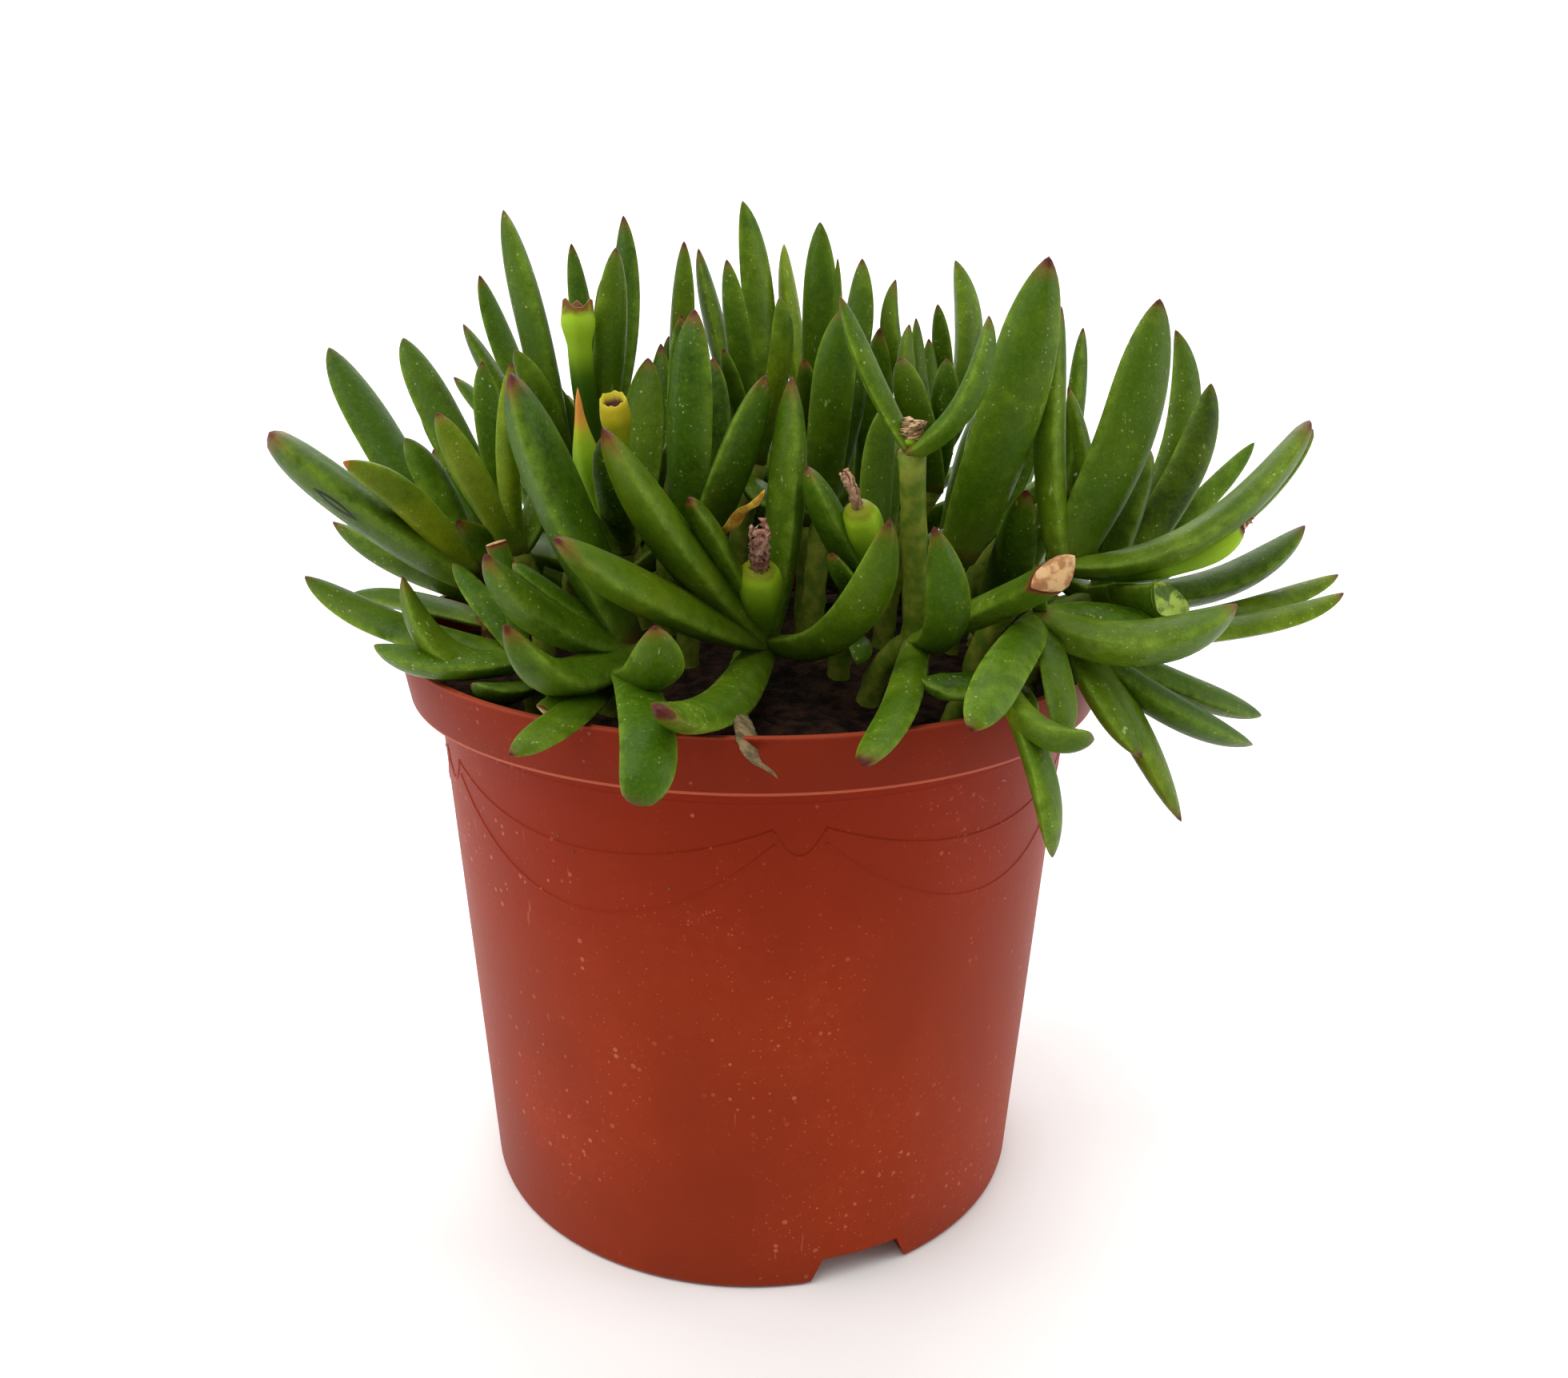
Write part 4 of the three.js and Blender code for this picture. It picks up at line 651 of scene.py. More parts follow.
def solid_width(leaf, t):
    """Share of the half width of the part's solid at a share of the length."""
    ends, shares = stalked(leaf.stalk, SOLID_PROFILES[leaf.shape])
    if leaf.seat is None:
        return float(np.interp(t, ends, shares))
    ends = [end * leaf.seat for end in ends]
    if leaf.bloom:
        ends = ends + [1]
        shares = list(shares) + [leaf.bloom]
    return float(np.interp(t, ends, shares))

class Bending:
    """Bends leaves clear of other stems' leaves, the soil and the rim, a little each round."""

    def __init__(self, shoots):
        self.leaves = [leaf for shoot in shoots for leaf in shoot.leaves]
        rows = []
        number = 0
        for owner, shoot in enumerate(shoots):
            for leaf in shoot.leaves:
                for t in BEND_SHARES:
                    share = max(solid_width(leaf, t), LEAST_SHARE)
                    rows.append((owner, number, t, share * leaf.half, None))
                number += 1
            for k in range(STEM_POINTS + 1):
                rows.append((owner, -1, 0, STEM_RADIUS, point_along(shoot.path, k / STEM_POINTS)))
        self.owner = np.array([row[0] for row in rows])
        self.leaf = np.array([row[1] for row in rows])
        self.t = np.array([row[2] for row in rows], dtype=float)
        self.rho = np.array([row[3] for row in rows], dtype=float)
        self.is_leaf = self.leaf >= 0
        self.at = np.array([np.zeros(3) if row[4] is None else row[4] for row in rows])
        for name in ("root", "via", "tip", "across", "inner", "thickness", "sighted"):
            setattr(self, name, np.array([getattr(leaf, name) for leaf in self.leaves]))
        self.mobility = np.where(self.is_leaf, np.maximum(self.t - HELD_SHARE, 0), 0)
        self.place()
        self.find_near()

    def place(self):
        mine = self.leaf[self.is_leaf]
        t = self.t[self.is_leaf][:, None]
        self.at[self.is_leaf] = bezier(self.root[mine], self.via[mine], self.tip[mine], t)

    def find_near(self):
        """Pairs of points of different stems that lie near, and how hidden leaves cross."""
        first, second = [], []
        for k in range(len(self.at) - 1):
            distance = np.linalg.norm(self.at[k + 1:] - self.at[k], axis=1)
            near = np.nonzero((distance <= NEAR) & (self.owner[k + 1:] != self.owner[k]))[0] + k + 1
            first.append(np.full(len(near), k))
            second.append(near)
        self.a = np.concatenate(first)
        self.b = np.concatenate(second)
        self.side = np.zeros((len(self.a), 3))
        self.crossing = np.zeros(len(self.a), dtype=bool)
        least = {}
        distance = np.linalg.norm(self.at[self.a] - self.at[self.b], axis=1)
        hidden = self.is_leaf[self.a] & self.is_leaf[self.b]
        hidden &= ~self.sighted[self.leaf[self.a]] & ~self.sighted[self.leaf[self.b]]
        for row in np.nonzero(hidden)[0]:
            key = (self.leaf[self.a[row]], self.leaf[self.b[row]])
            if key not in least or distance[row] < distance[least[key]]:
                least[key] = row
        sides = {key: self.side_of(self.a[row], self.b[row]) for key, row in least.items()}
        for row in np.nonzero(hidden)[0]:
            side = sides[(self.leaf[self.a[row]], self.leaf[self.b[row]])]
            if side is not None:
                self.side[row] = side
                self.crossing[row] = True

    def side_of(self, a, b):
        """The way that crossing leaves pass over each other, or None if they run alike."""
        chord_a = unit(self.tip[self.leaf[a]] - self.root[self.leaf[a]])
        chord_b = unit(self.tip[self.leaf[b]] - self.root[self.leaf[b]])
        side = np.cross(chord_a, chord_b)
        if np.linalg.norm(side) < CROSSING:
            return None
        sign = -1 if side @ self.at[a] < side @ self.at[b] else 1
        return unit(side) * sign

    def reach(self, rows, direction):
        """How far a leaf or stem reaches from its middle line in a direction."""
        mine = self.leaf[rows]
        wide = np.einsum("ij,ij->i", direction, self.across[mine])
        thick = self.thickness[mine] * np.einsum("ij,ij->i", direction, self.inner[mine])
        return self.rho[rows] * np.where(self.is_leaf[rows], np.hypot(wide, thick), 1)

    def add(self, rows, via_push, tip_push):
        np.add.at(self.via_move, self.leaf[rows], via_push)
        np.add.at(self.tip_move, self.leaf[rows], tip_push)

    def swing(self, rows, push):
        via = 2 * self.t[rows] * (1 - self.t[rows])
        tip = self.t[rows] ** 2
        share = 1 / np.maximum(via * via + tip * tip, LEAST_LEVER)
        self.add(rows, push * (via * share)[:, None], push * (tip * share)[:, None])

    def bend(self, rows, push):
        """Off the pot a leaf is bent, not swung: its tip stays unless the push is near it."""
        t = self.t[rows]
        inward = t < BEND_TO
        via = np.where(inward, 1 / np.maximum(2 * t * (1 - t), LEAST_LEVER), 0)
        tip = np.where(inward, 0, 1 / (t * t))
        self.add(rows, push * via[:, None], push * tip[:, None])

    def push_apart(self, rows, away, need):
        """A leaf that shows is pushed along the line of sight, and stays where it was seen."""
        sight = self.at[rows] - EYE
        sight /= np.linalg.norm(sight, axis=1)[:, None]
        share = np.einsum("ij,ij->i", away, sight)
        step = np.sign(share) * need / np.maximum(np.abs(share), SIGHT_LEAST)
        sighted = self.sighted[self.leaf[rows]][:, None]
        self.swing(rows, np.where(sighted, sight * step[:, None], away * need[:, None]))

    def push_leaves(self):
        between = self.at[self.a] - self.at[self.b]
        distance = np.maximum(np.linalg.norm(between, axis=1), TINY)
        away = between / distance[:, None]
        need = self.reach(self.a, away) + self.reach(self.b, away) + CLEARANCE - distance
        total = self.mobility[self.a] + self.mobility[self.b]
        rows = np.nonzero((need > 0) & (total > 0))[0]
        a, b, need, away, total = self.a[rows], self.b[rows], need[rows], away[rows], total[rows]
        over = self.crossing[rows]
        away = np.where(over[:, None], self.side[rows], away)
        spread = np.einsum("ij,ij->i", between[rows], away)
        across = self.reach(a, away) + self.reach(b, away) + CLEARANCE - spread
        need = np.where(over, across, need)
        for mine, way in ((a, away), (b, -away)):
            moved = (self.mobility[mine] > 0) & (need > 0)
            share = PUSH * need * self.mobility[mine] / total
            self.push_apart(mine[moved], way[moved], share[moved])

    def push_off_pot(self):
        rows = np.nonzero(self.mobility > 0)[0]
        at = self.at[rows]
        radius = np.hypot(at[:, 0], at[:, 1])
        out = np.column_stack([at[:, 0] / radius, at[:, 1] / radius, np.zeros(len(at))])
        up = np.tile([0.0, 0.0, 1.0], (len(at), 1))
        over = radius - RIM_MIDDLE
        above = at[:, 2] - RIM_TOP
        spare = RIM_HALF + CLEARANCE
        share = radius / (RIM_RADIUS - WALL)
        soil = SOIL_EDGE + SOIL_MOUND * (1 - share * share)
        reach_up = self.reach(rows, up)
        low = soil + reach_up + CLEARANCE - at[:, 2]
        self.bend_where((over < 0) & (low > 0), rows, up, POT_PUSH * low)
        distance = np.maximum(np.hypot(over, above), TINY)
        away = out * (over / distance)[:, None] + up * (above / distance)[:, None]
        need = self.reach(rows, away) + spare - distance
        self.bend_where((above >= 0) & (need > 0), rows, away, POT_PUSH * need)
        need = self.reach(rows, out) + spare - over
        outside = (above < 0) & (over >= 0) & (at[:, 2] > POT_HEIGHT - BAND_HEIGHT - BAND_REACH)
        self.bend_where(outside & (need > 0), rows, out, POT_PUSH * need)
        tip = self.tip[self.leaf[rows]]
        crosses = np.hypot(tip[:, 0], tip[:, 1]) > RIM_MIDDLE
        inside = (above < 0) & (over < 0)
        need = reach_up + spare
        lift = np.sqrt(np.maximum(need * need - over * over, 0)) - above
        self.bend_where(inside & crosses & (-over < need), rows, up, POT_PUSH * lift)
        need = self.reach(rows, out) + spare + over
        self.bend_where(inside & ~crosses & (need > 0), rows, out, -POT_PUSH * need)

    def bend_where(self, chosen, rows, way, amount):
        self.bend(rows[chosen], way[chosen] * amount[chosen][:, None])

    def run(self):
        for _ in range(BEND_ROUNDS):
            self.via_move = np.zeros_like(self.via)
            self.tip_move = np.zeros_like(self.tip)
            self.push_leaves()
            self.push_off_pot()
            for places, moves in ((self.via, self.via_move), (self.tip, self.tip_move)):
                length = np.maximum(np.linalg.norm(moves, axis=1), TINY)
                places += moves * np.minimum(LARGEST_MOVE / length, 1)[:, None]
            self.place()
        for leaf, via, tip in zip(self.leaves, self.via, self.tip):
            leaf.via = via
            leaf.tip = tip

def grow_shoots():
    """Every stem of the plant with its leaves bent clear, in the order of the frame's nodes."""
    shoots = [shown_shoot(k + 1, entry) for k, entry in enumerate(SHOWN)]
    draw = Draw(SEED)
    for ring in HIDDEN_RINGS:
        for bearing in ring["bearings"]:
            shoots.append(hidden_shoot(len(shoots) + 1, ring, bearing, draw))
    Bending(shoots).run()
    return shoots

def smooth_share(t, ends, shares):
    """A smooth curve through the shares, for arrays of t."""
    ends = np.asarray(ends, dtype=float)
    shares = np.asarray(shares, dtype=float)
    slopes = np.gradient(shares, ends)
    k = np.clip(np.searchsorted(ends, t, side="right") - 1, 0, len(ends) - 2)
    width = ends[k + 1] - ends[k]
    s = (t - ends[k]) / width
    start = (2 * s ** 3 - 3 * s ** 2 + 1) * shares[k]
    start = start + (s ** 3 - 2 * s ** 2 + s) * width * slopes[k]
    end = (3 * s ** 2 - 2 * s ** 3) * shares[k + 1]
    end = end + (s ** 3 - s ** 2) * width * slopes[k + 1]
    return np.maximum(start + end, 0)

def leaf_section(sides):
    """Across and inner shares of a leaf's outline: nearly flat toward the stem, keeled outside."""
    turn = 2 * np.pi * np.arange(sides) / sides
    across = np.cos(turn)
    top = 0.08 + 0.56 * np.clip(1 - np.abs(across) ** 2.8, 0, 1) ** 0.9
    keel = 0.08 - 1.06 * np.clip(1 - np.abs(across) ** 1.6, 0, 1) ** 0.85
    inner = np.where(np.sin(turn) >= 0, top, keel)
    return across, inner

def round_section(sides):
    turn = 2 * np.pi * np.arange(sides) / sides
    return np.cos(turn), np.sin(turn)

def linked(name, data):
    """A new object of that data, in the scene."""
    piece = bpy.data.objects.new(name, data)
    bpy.context.scene.collection.objects.link(piece)
    return piece

def smoothed(mesh):
    mesh.polygons.foreach_set("use_smooth", [True] * len(mesh.polygons))

class PieceMesh:
    """Makes one object of closed skins, with the values that the materials read."""

    VALUES = ("along", "edge", "tone", "sun", "end", "kind", "seed")

    def __init__(self):
        self.points = []
        self.faces = []
        self.values = {name: [] for name in self.VALUES}
        self.count = 0

    def skin(self, rings, values):
        """rings: array of rings x sides x 3, closed at both ends with a point in the middle."""
        number, sides, _ = rings.shape
        caps = np.array([rings[0].mean(axis=0), rings[-1].mean(axis=0)])
        self.points.append(np.concatenate([rings.reshape(-1, 3), caps]))
        start = self.count
        low, high = start + number * sides, start + number * sides + 1
        for r in range(number - 1):
            for k in range(sides):
                n = (k + 1) % sides
                a, b = start + r * sides, start + (r + 1) * sides
                self.faces.append((a + k, a + n, b + n, b + k))
        last = start + (number - 1) * sides
        for k in range(sides):
            n = (k + 1) % sides
            self.faces.append((low, start + n, start + k))
            self.faces.append((high, last + k, last + n))
        for name in self.VALUES:
            value = np.broadcast_to(values.get(name, 0.0), (number, sides)).astype(float)
            ends = [value[0].mean(), value[-1].mean()]
            self.values[name].append(np.concatenate([value.reshape(-1), ends]))
        self.count += number * sides + 2

    def build(self, name, material):
        mesh = bpy.data.meshes.new(name)
        points = np.concatenate(self.points) * MM
        mesh.from_pydata(points.tolist(), [], self.faces)
        for value in self.VALUES:
            layer = mesh.attributes.new(value, "FLOAT", "POINT")
            layer.data.foreach_set("value", np.concatenate(self.values[value]))
        smoothed(mesh)
        mesh.materials.append(material)
        mesh.update()
        piece = linked(name, mesh)
        return piece

def sweep_rings(leaf, ends, shares, section, steps, half, wave=0.0, rng=None):
    """Rings of the section along the leaf's curve; wave roughens them by a share."""
    across_share, inner_share = section
    width = smooth_share(steps, ends, shares)
    rings = np.zeros((len(steps), len(across_share), 3))
    for k, t in enumerate(steps):
        along = leaf.along(t)
        flat = unit(leaf.across - along * (leaf.across @ along))
        inner = np.cross(along, flat)
        radius = width[k] * half
        rough = 1.0
        if wave:
            rough = 1 + wave * np.array([rng.uniform(-1, 1) for _ in across_share])[:, None]
        ring = np.outer(across_share, flat) + np.outer(inner_share, inner) * leaf.thickness
        rings[k] = leaf.at(t) + radius * ring * rough
    return rings

def ring_steps(number):
    """Shares of the length, closer together toward the tip."""
    share = np.linspace(0, 1, number)
    return 1 - (1 - share) ** RING_CROWDING

def slanted(rings, leaf):
    """Shifts along the leaf that turn the face of its end toward the eye, by its look."""
    along = leaf.along(1)
    toward = unit(EYE - leaf.tip)
    toward = unit(toward - along * (toward @ along))
    near = (rings - rings.mean(axis=1, keepdims=True)) @ toward
    share = np.linspace(0, leaf.look.get("slant", 0), len(rings))[:, None, None]
    return -share * near[:, :, None] * along

def add_leaf(mesh, leaf, rng):
    section = leaf_section(FINE_SIDES)
    ends, shares = FINE_PROFILES[leaf.shape]
    steps = ring_steps(FINE_RINGS)
    rings = sweep_rings(leaf, ends, shares, section, steps, leaf.half)
    length = np.linalg.norm(leaf.tip - leaf.root)
    wobble = rng.uniform(0, 2 * math.pi)
    size = LEAF_WOBBLE * leaf.half
    for k, t in enumerate(steps):
        bow = size * math.sin(wobble + WOBBLE_PER_MM * length * t) * min(4 * t * (1 - t), 1)
        rings[k] += bow * leaf.across
    rings[-SLANTED_RINGS:] += slanted(rings[-SLANTED_RINGS:], leaf)
    keel = KEEL_SHARE * (np.abs(section[0]) < KEEL_REACH) * (section[1] < 0)
    edge = np.abs(section[0])[None, :] ** EDGE_SHARPNESS + keel
    look = leaf.look
    values = {
        "along": steps[:, None],
        "edge": edge,
        "tone": look.get("tone", rng.uniform(-0.35, 0.35)),
        "sun": look.get("sun", rng.uniform(0, 0.2)),
        "end": look.get("end", rng.uniform(0.25, 0.8)),
        "kind": KINDS["stub" if leaf.shape == "blunt" else "leaf"],
        "seed": rng.uniform(0, 1),
    }
    mesh.skin(rings, values)

def opened(rings, steps, along, fruit):
    """The rings with the top drawn up into teeth and turned in to a shallow cup."""
    teeth = fruit.look.get("teeth", 5)
    turn = 2 * np.pi * np.arange(rings.shape[1]) / rings.shape[1]
    rings[-SLANTED_RINGS:] += slanted(rings[-SLANTED_RINGS:], fruit)
    height = fruit.half * TOOTH * (4 / teeth) * (0.5 + 0.5 * np.cos(teeth * turn + 0.6)) ** 2
    rings[-1] += height[:, None] * along - 0.5 * height.mean() * along
    middle = rings[-1].mean(axis=0)
    lip = middle + LIP_SHARE * (rings[-1] - middle)
    low = rings[-2].mean(axis=0)
    floor = low + CUP_SHARE * (rings[-2] - low) - CUP_DEPTH * fruit.half * along
    return np.concatenate([rings, [lip, floor]]), np.concatenate([steps, CUP_STEPS])

def add_capsule(mesh, fruit, rng):
    """A round-shouldered capsule with low ribs, cut off square where its flower sat."""
    via = fruit.root + (fruit.via - fruit.root) * fruit.seat
    whole = Leaf(fruit.root, via, fruit.at(fruit.seat), True)
    whole.across, whole.inner, whole.thickness = fruit.across, fruit.inner, 1
    cup = fruit.shape == "capsule" and not fruit.bloom
    ends, shares = stalked(fruit.stalk, FINE_PROFILES["cup" if cup else fruit.shape])
    steps = np.linspace(0, 1, CAPSULE_RINGS)
    across, inner = round_section(CAPSULE_SIDES)
    ribs = 1 + RIB_HEIGHT * np.cos(RIBS * 2 * np.pi * np.arange(CAPSULE_SIDES) / CAPSULE_SIDES)
    rings = sweep_rings(whole, ends, shares, (across * ribs, inner * ribs), steps, fruit.half)
    if cup:
        rings, steps = opened(rings, steps, whole.along(1), fruit)
    look = fruit.look
    values = {
        "along": steps[:, None],
        "edge": fruit.stalk - 0.1,
        "tone": 0.5,
        "sun": look.get("sun", 0.75),
        "end": look.get("end", 0.5),
        "kind": KINDS["fruit"],
        "seed": rng.uniform(0, 1),
    }
    mesh.skin(rings, values)

def add_stem(mesh, path, woody, rng):
    below = path[0] - np.array([0, 0, STEM_DEPTH])
    steps = np.linspace(0, 1, STEM_FINE_RINGS)
    middles = [below] + [point_along(path, t) for t in steps]
    across, inner = round_section(STEM_FINE_SIDES)
    rings = np.zeros((len(middles), STEM_FINE_SIDES, 3))
    for k, middle in enumerate(middles):
        ahead = middles[min(k + 1, len(middles) - 1)]
        behind = middles[max(k - 1, 0)]
        along = unit(ahead - behind)
        flat = unit(np.array([1, 0, 0]) - along * along[0])
        side = np.cross(along, flat)
        knots = KNOT_LEAST + KNOT_MORE * math.sin(KNOTS_PER_RING * k)
        rings[k] = middle + STEM_RADIUS * knots * (np.outer(across, flat) + np.outer(inner, side))
    values = {
        "along": np.linspace(0, 1, len(middles))[:, None],
        "tone": 0.2,
        "sun": 0.5,
        "end": woody,
        "kind": KINDS["stem"],
        "seed": rng.uniform(0, 1),
    }
    mesh.skin(rings, values)

def build_shoot(shoot, material):
    """One leafy stem as one mesh, in place of its node."""
    rng = random.Random(shoot.name)
    mesh = PieceMesh()
    add_stem(mesh, shoot.path, 1.0 if shoot.number == 1 else 0.0, rng)
    for leaf in shoot.leaves:
        if leaf.seat is not None:
            add_capsule(mesh, leaf, rng)
        elif not leaf.dry:
            add_leaf(mesh, leaf, rng)
    piece = mesh.build(f"fine_{shoot.name}", material)
    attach(piece, "root")
    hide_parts(shoot.name)
    return piece

def build_dried_flower(fruit, number, material):
    """The withered petals on a capsule: thin crumpled strips round the line of the old flower."""
    rng = random.Random(f"flower {number}")
    root = fruit.at(fruit.seat)
    column = Leaf(root, fruit.via + (fruit.tip - fruit.via) * fruit.seat, fruit.tip, True)
    column.across, column.inner, column.thickness = fruit.across, fruit.inner, 1
    half = fruit.half * fruit.bloom
    mesh = PieceMesh()
    steps = np.linspace(0, 1, PETAL_RINGS)
    for petal in range(PETALS):
        turn = 2 * math.pi * petal / PETALS + rng.uniform(-PETAL_TURN, PETAL_TURN)
        reach = rng.uniform(*PETAL_REACH)
        flare = rng.uniform(*PETAL_FLARE)
        rings = []
        for t in steps:
            share = t * reach
            middle = column.at(share)
            twist = turn + PETAL_TWIST * t + PETAL_WAVE * math.sin(PETAL_WAVES * t + petal)
            way = math.cos(twist) * column.across + math.sin(twist) * column.inner
            side = unit(np.cross(column.along(share), way))
            out = half * (PETAL_OUT + flare * t * t + PETAL_FRAY * rng.uniform(-1, 1))
            broad = half * (PETAL_BROAD - PETAL_TAPER * t + PETAL_FRAY * rng.uniform(-1, 1))
            middle = middle + way * out
            rings.append([
                middle + side * broad,
                middle + way * PETAL_THICKNESS * 0.5 + side * 0.3 * broad,
                middle - side * broad + way * 0.4 * broad,
                middle - way * PETAL_THICKNESS * 0.5,
            ])
        pale = fruit.look.get("pale", 0.0)
        values = {"along": steps[:, None], "end": pale, "kind": KINDS["petal"]}
        mesh.skin(np.array(rings), {**values, "seed": rng.uniform(0, 1)})
    steps = np.linspace(0, CORE_TO, CORE_RINGS)
    section = round_section(CORE_SIDES)
    core = sweep_rings(column, (0, CORE_TO, 1), CORE_SHARES, section, steps, half, PUCKER, rng)
    mesh.skin(core, {"along": steps[:, None], "end": 0.0, "kind": KINDS["petal"]})
    piece = mesh.build(f"fine_dried_flower_{number}", material)
    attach(piece, "root")
    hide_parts(f"dried_flower_{number}")

def build_withered_leaf(leaf, number, material):
    """A shrunken brown leaf: flat, with puckered edges."""
    rng = random.Random(f"withered {number}")
    mesh = PieceMesh()
    steps = np.linspace(leaf.look.get("start", 0.05), 1, DRY_RINGS)
    section = leaf_section(DRY_SIDES)
    rings = sweep_rings(leaf, *FINE_PROFILES["slim"], section, steps, leaf.half, PUCKER, rng)
    for k, t in enumerate(steps):
        rings[k] += leaf.inner * CURL * leaf.half * math.sin(CURL_TURNS * t + number)
    sun = leaf.look.get("sun", 0.0)
    values = {"along": steps[:, None], "sun": sun, "kind": KINDS["withered"]}
    mesh.skin(rings, {**values, "seed": rng.uniform(0, 1)})
    piece = mesh.build(f"fine_withered_leaf_{number}", material)
    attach(piece, "root")
    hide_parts(f"withered_leaf_{number}")

def closed(name, shape):
    """The closed shape as a mesh with its faces turned outward."""
    bmesh.ops.recalc_face_normals(shape, faces=shape.faces)
    mesh = bpy.data.meshes.new(name)
    shape.to_mesh(mesh)
    shape.free()
    return mesh

def lathe_mesh(name, outline, sides):
    """A closed solid turned round Z from an outline that starts and ends on the axis."""
    shape = bmesh.new()
    rings = []
    for radius, height in outline:
        if radius < TINY:
            rings.append([shape.verts.new((0, 0, height * MM))])
            continue
        ring = []
        for k in range(sides):
            turn = 2 * math.pi * k / sides
            place = (radius * MM * math.cos(turn), radius * MM * math.sin(turn), height * MM)
            ring.append(shape.verts.new(place))
        rings.append(ring)
    for low, high in zip(rings, rings[1:]):
        for k in range(sides):
            n = (k + 1) % sides
            if len(low) == 1:
                shape.faces.new((low[0], high[n], high[k]))
            elif len(high) == 1:
                shape.faces.new((low[k], low[n], high[0]))
            else:
                shape.faces.new((low[k], low[n], high[n], high[k]))
    return closed(name, shape)

def object_from(name, mesh, material):
    smoothed(mesh)
    mesh.materials.clear()
    mesh.materials.append(material)
    piece = linked(name, mesh)
    return piece

def applied(piece):
    """Bakes the modifiers of a piece into a plain mesh and takes them off."""
    bpy.context.view_layer.update()
    evaluated = piece.evaluated_get(bpy.context.evaluated_depsgraph_get())
    mesh = bpy.data.meshes.new_from_object(evaluated)
    piece.modifiers.clear()
    old = piece.data
    piece.data = mesh
    bpy.data.meshes.remove(old)
    return piece

def rounded(corner_in, corner, corner_out, radius, steps=4):
    """Points round a corner of an outline, from the side that it comes in by to the other."""
    corner = np.array(corner, dtype=float)
    way_in = unit(np.array(corner_in) - corner)
    way_out = unit(np.array(corner_out) - corner)
    start, end = corner + way_in * radius, corner + way_out * radius
    return [tuple(bezier(start, corner, end, t)) for t in np.linspace(0, 1, steps)]

def pot_outline():
    """The outline of the pot's wall, from the middle underneath round to the middle inside."""
    band_foot = POT_HEIGHT - BAND_HEIGHT
    inner_top = BODY_TOP_RADIUS - WALL
    inner_base = BASE_RADIUS - WALL
    corners = [
        (0, 0, 0),
        (BASE_RADIUS, 0, BASE_ROUNDING),
        (BODY_TOP_RADIUS, band_foot, 0.5),
        (BAND_FOOT_RADIUS, band_foot, 0.5),
        (RIM_RADIUS, POT_HEIGHT, 0.45),
        (RIM_RADIUS - WALL - 0.2, POT_HEIGHT, 0.45),
        (BAND_FOOT_RADIUS - WALL, band_foot + WALL, 0.4),
        (inner_top, band_foot + WALL, 0.4),
        (inner_base, WALL, 1.0),
        (0, WALL, 0),
    ]
    outline = [corners[0][:2]]
    for before, here, after in zip(corners, corners[1:], corners[2:]):
        outline += rounded(before[:2], here[:2], after[:2], here[2])
    return outline + [corners[-1][:2]]

def wall_radius(height):
    """The outside radius of the pot's body at a height, in millimetres."""
    share = (height - BASE_ROUNDING) / (POT_HEIGHT - BAND_HEIGHT - BASE_ROUNDING)
    return BASE_RADIUS + (BODY_TOP_RADIUS - BASE_RADIUS) * share

def prism(name, outline, depth):
    """A closed bar with that outline in X and Z, running from depth[0] to depth[1] along Y."""
    shape = bmesh.new()
    near = [shape.verts.new((x * MM, depth[0] * MM, z * MM)) for x, z in outline]
    far = [shape.verts.new((x * MM, depth[1] * MM, z * MM)) for x, z in outline]
    shape.faces.new(near)
    shape.faces.new(far[::-1])
    for k in range(len(outline)):
        n = (k + 1) % len(outline)
        shape.faces.new((near[k], far[k], far[n], near[n]))
    return closed(name, shape)

def combine(piece, mesh, operation="DIFFERENCE"):
    """Cuts the mesh from the piece, joins it on, or keeps what they share."""
    tool = linked("tool", mesh)
    modifier = piece.modifiers.new("combine", "BOOLEAN")
    modifier.operation = operation
    modifier.solver = "EXACT"
    modifier.object = tool
    applied(piece)
    bpy.data.objects.remove(tool)
    bpy.data.meshes.remove(mesh)

def turned(mesh, bearing):
    """The mesh turned from the front by a bearing in degrees, to the right."""
    mesh.transform(Matrix.Rotation(math.radians(bearing), 4, "Z"))
    return mesh

def channel_mesh(bearing, growth):
    """A drainage channel with sloped sides, or with growth the vault of the wall over it."""
    half = 0.5 * NOTCH_WIDTH + growth
    top = NOTCH_HEIGHT + growth
    low = 0.2 * WALL if growth else -1
    shoulder = NOTCH_TOP_SHARE * half
    outline = [(-half, low), (-shoulder, top), (shoulder, top), (half, low)]
    inner_end = -(BASE_RADIUS - NOTCH_DEPTH - growth)
    return turned(prism("channel", outline, (-BASE_RADIUS - NOTCH_PAST, inner_end)), bearing)

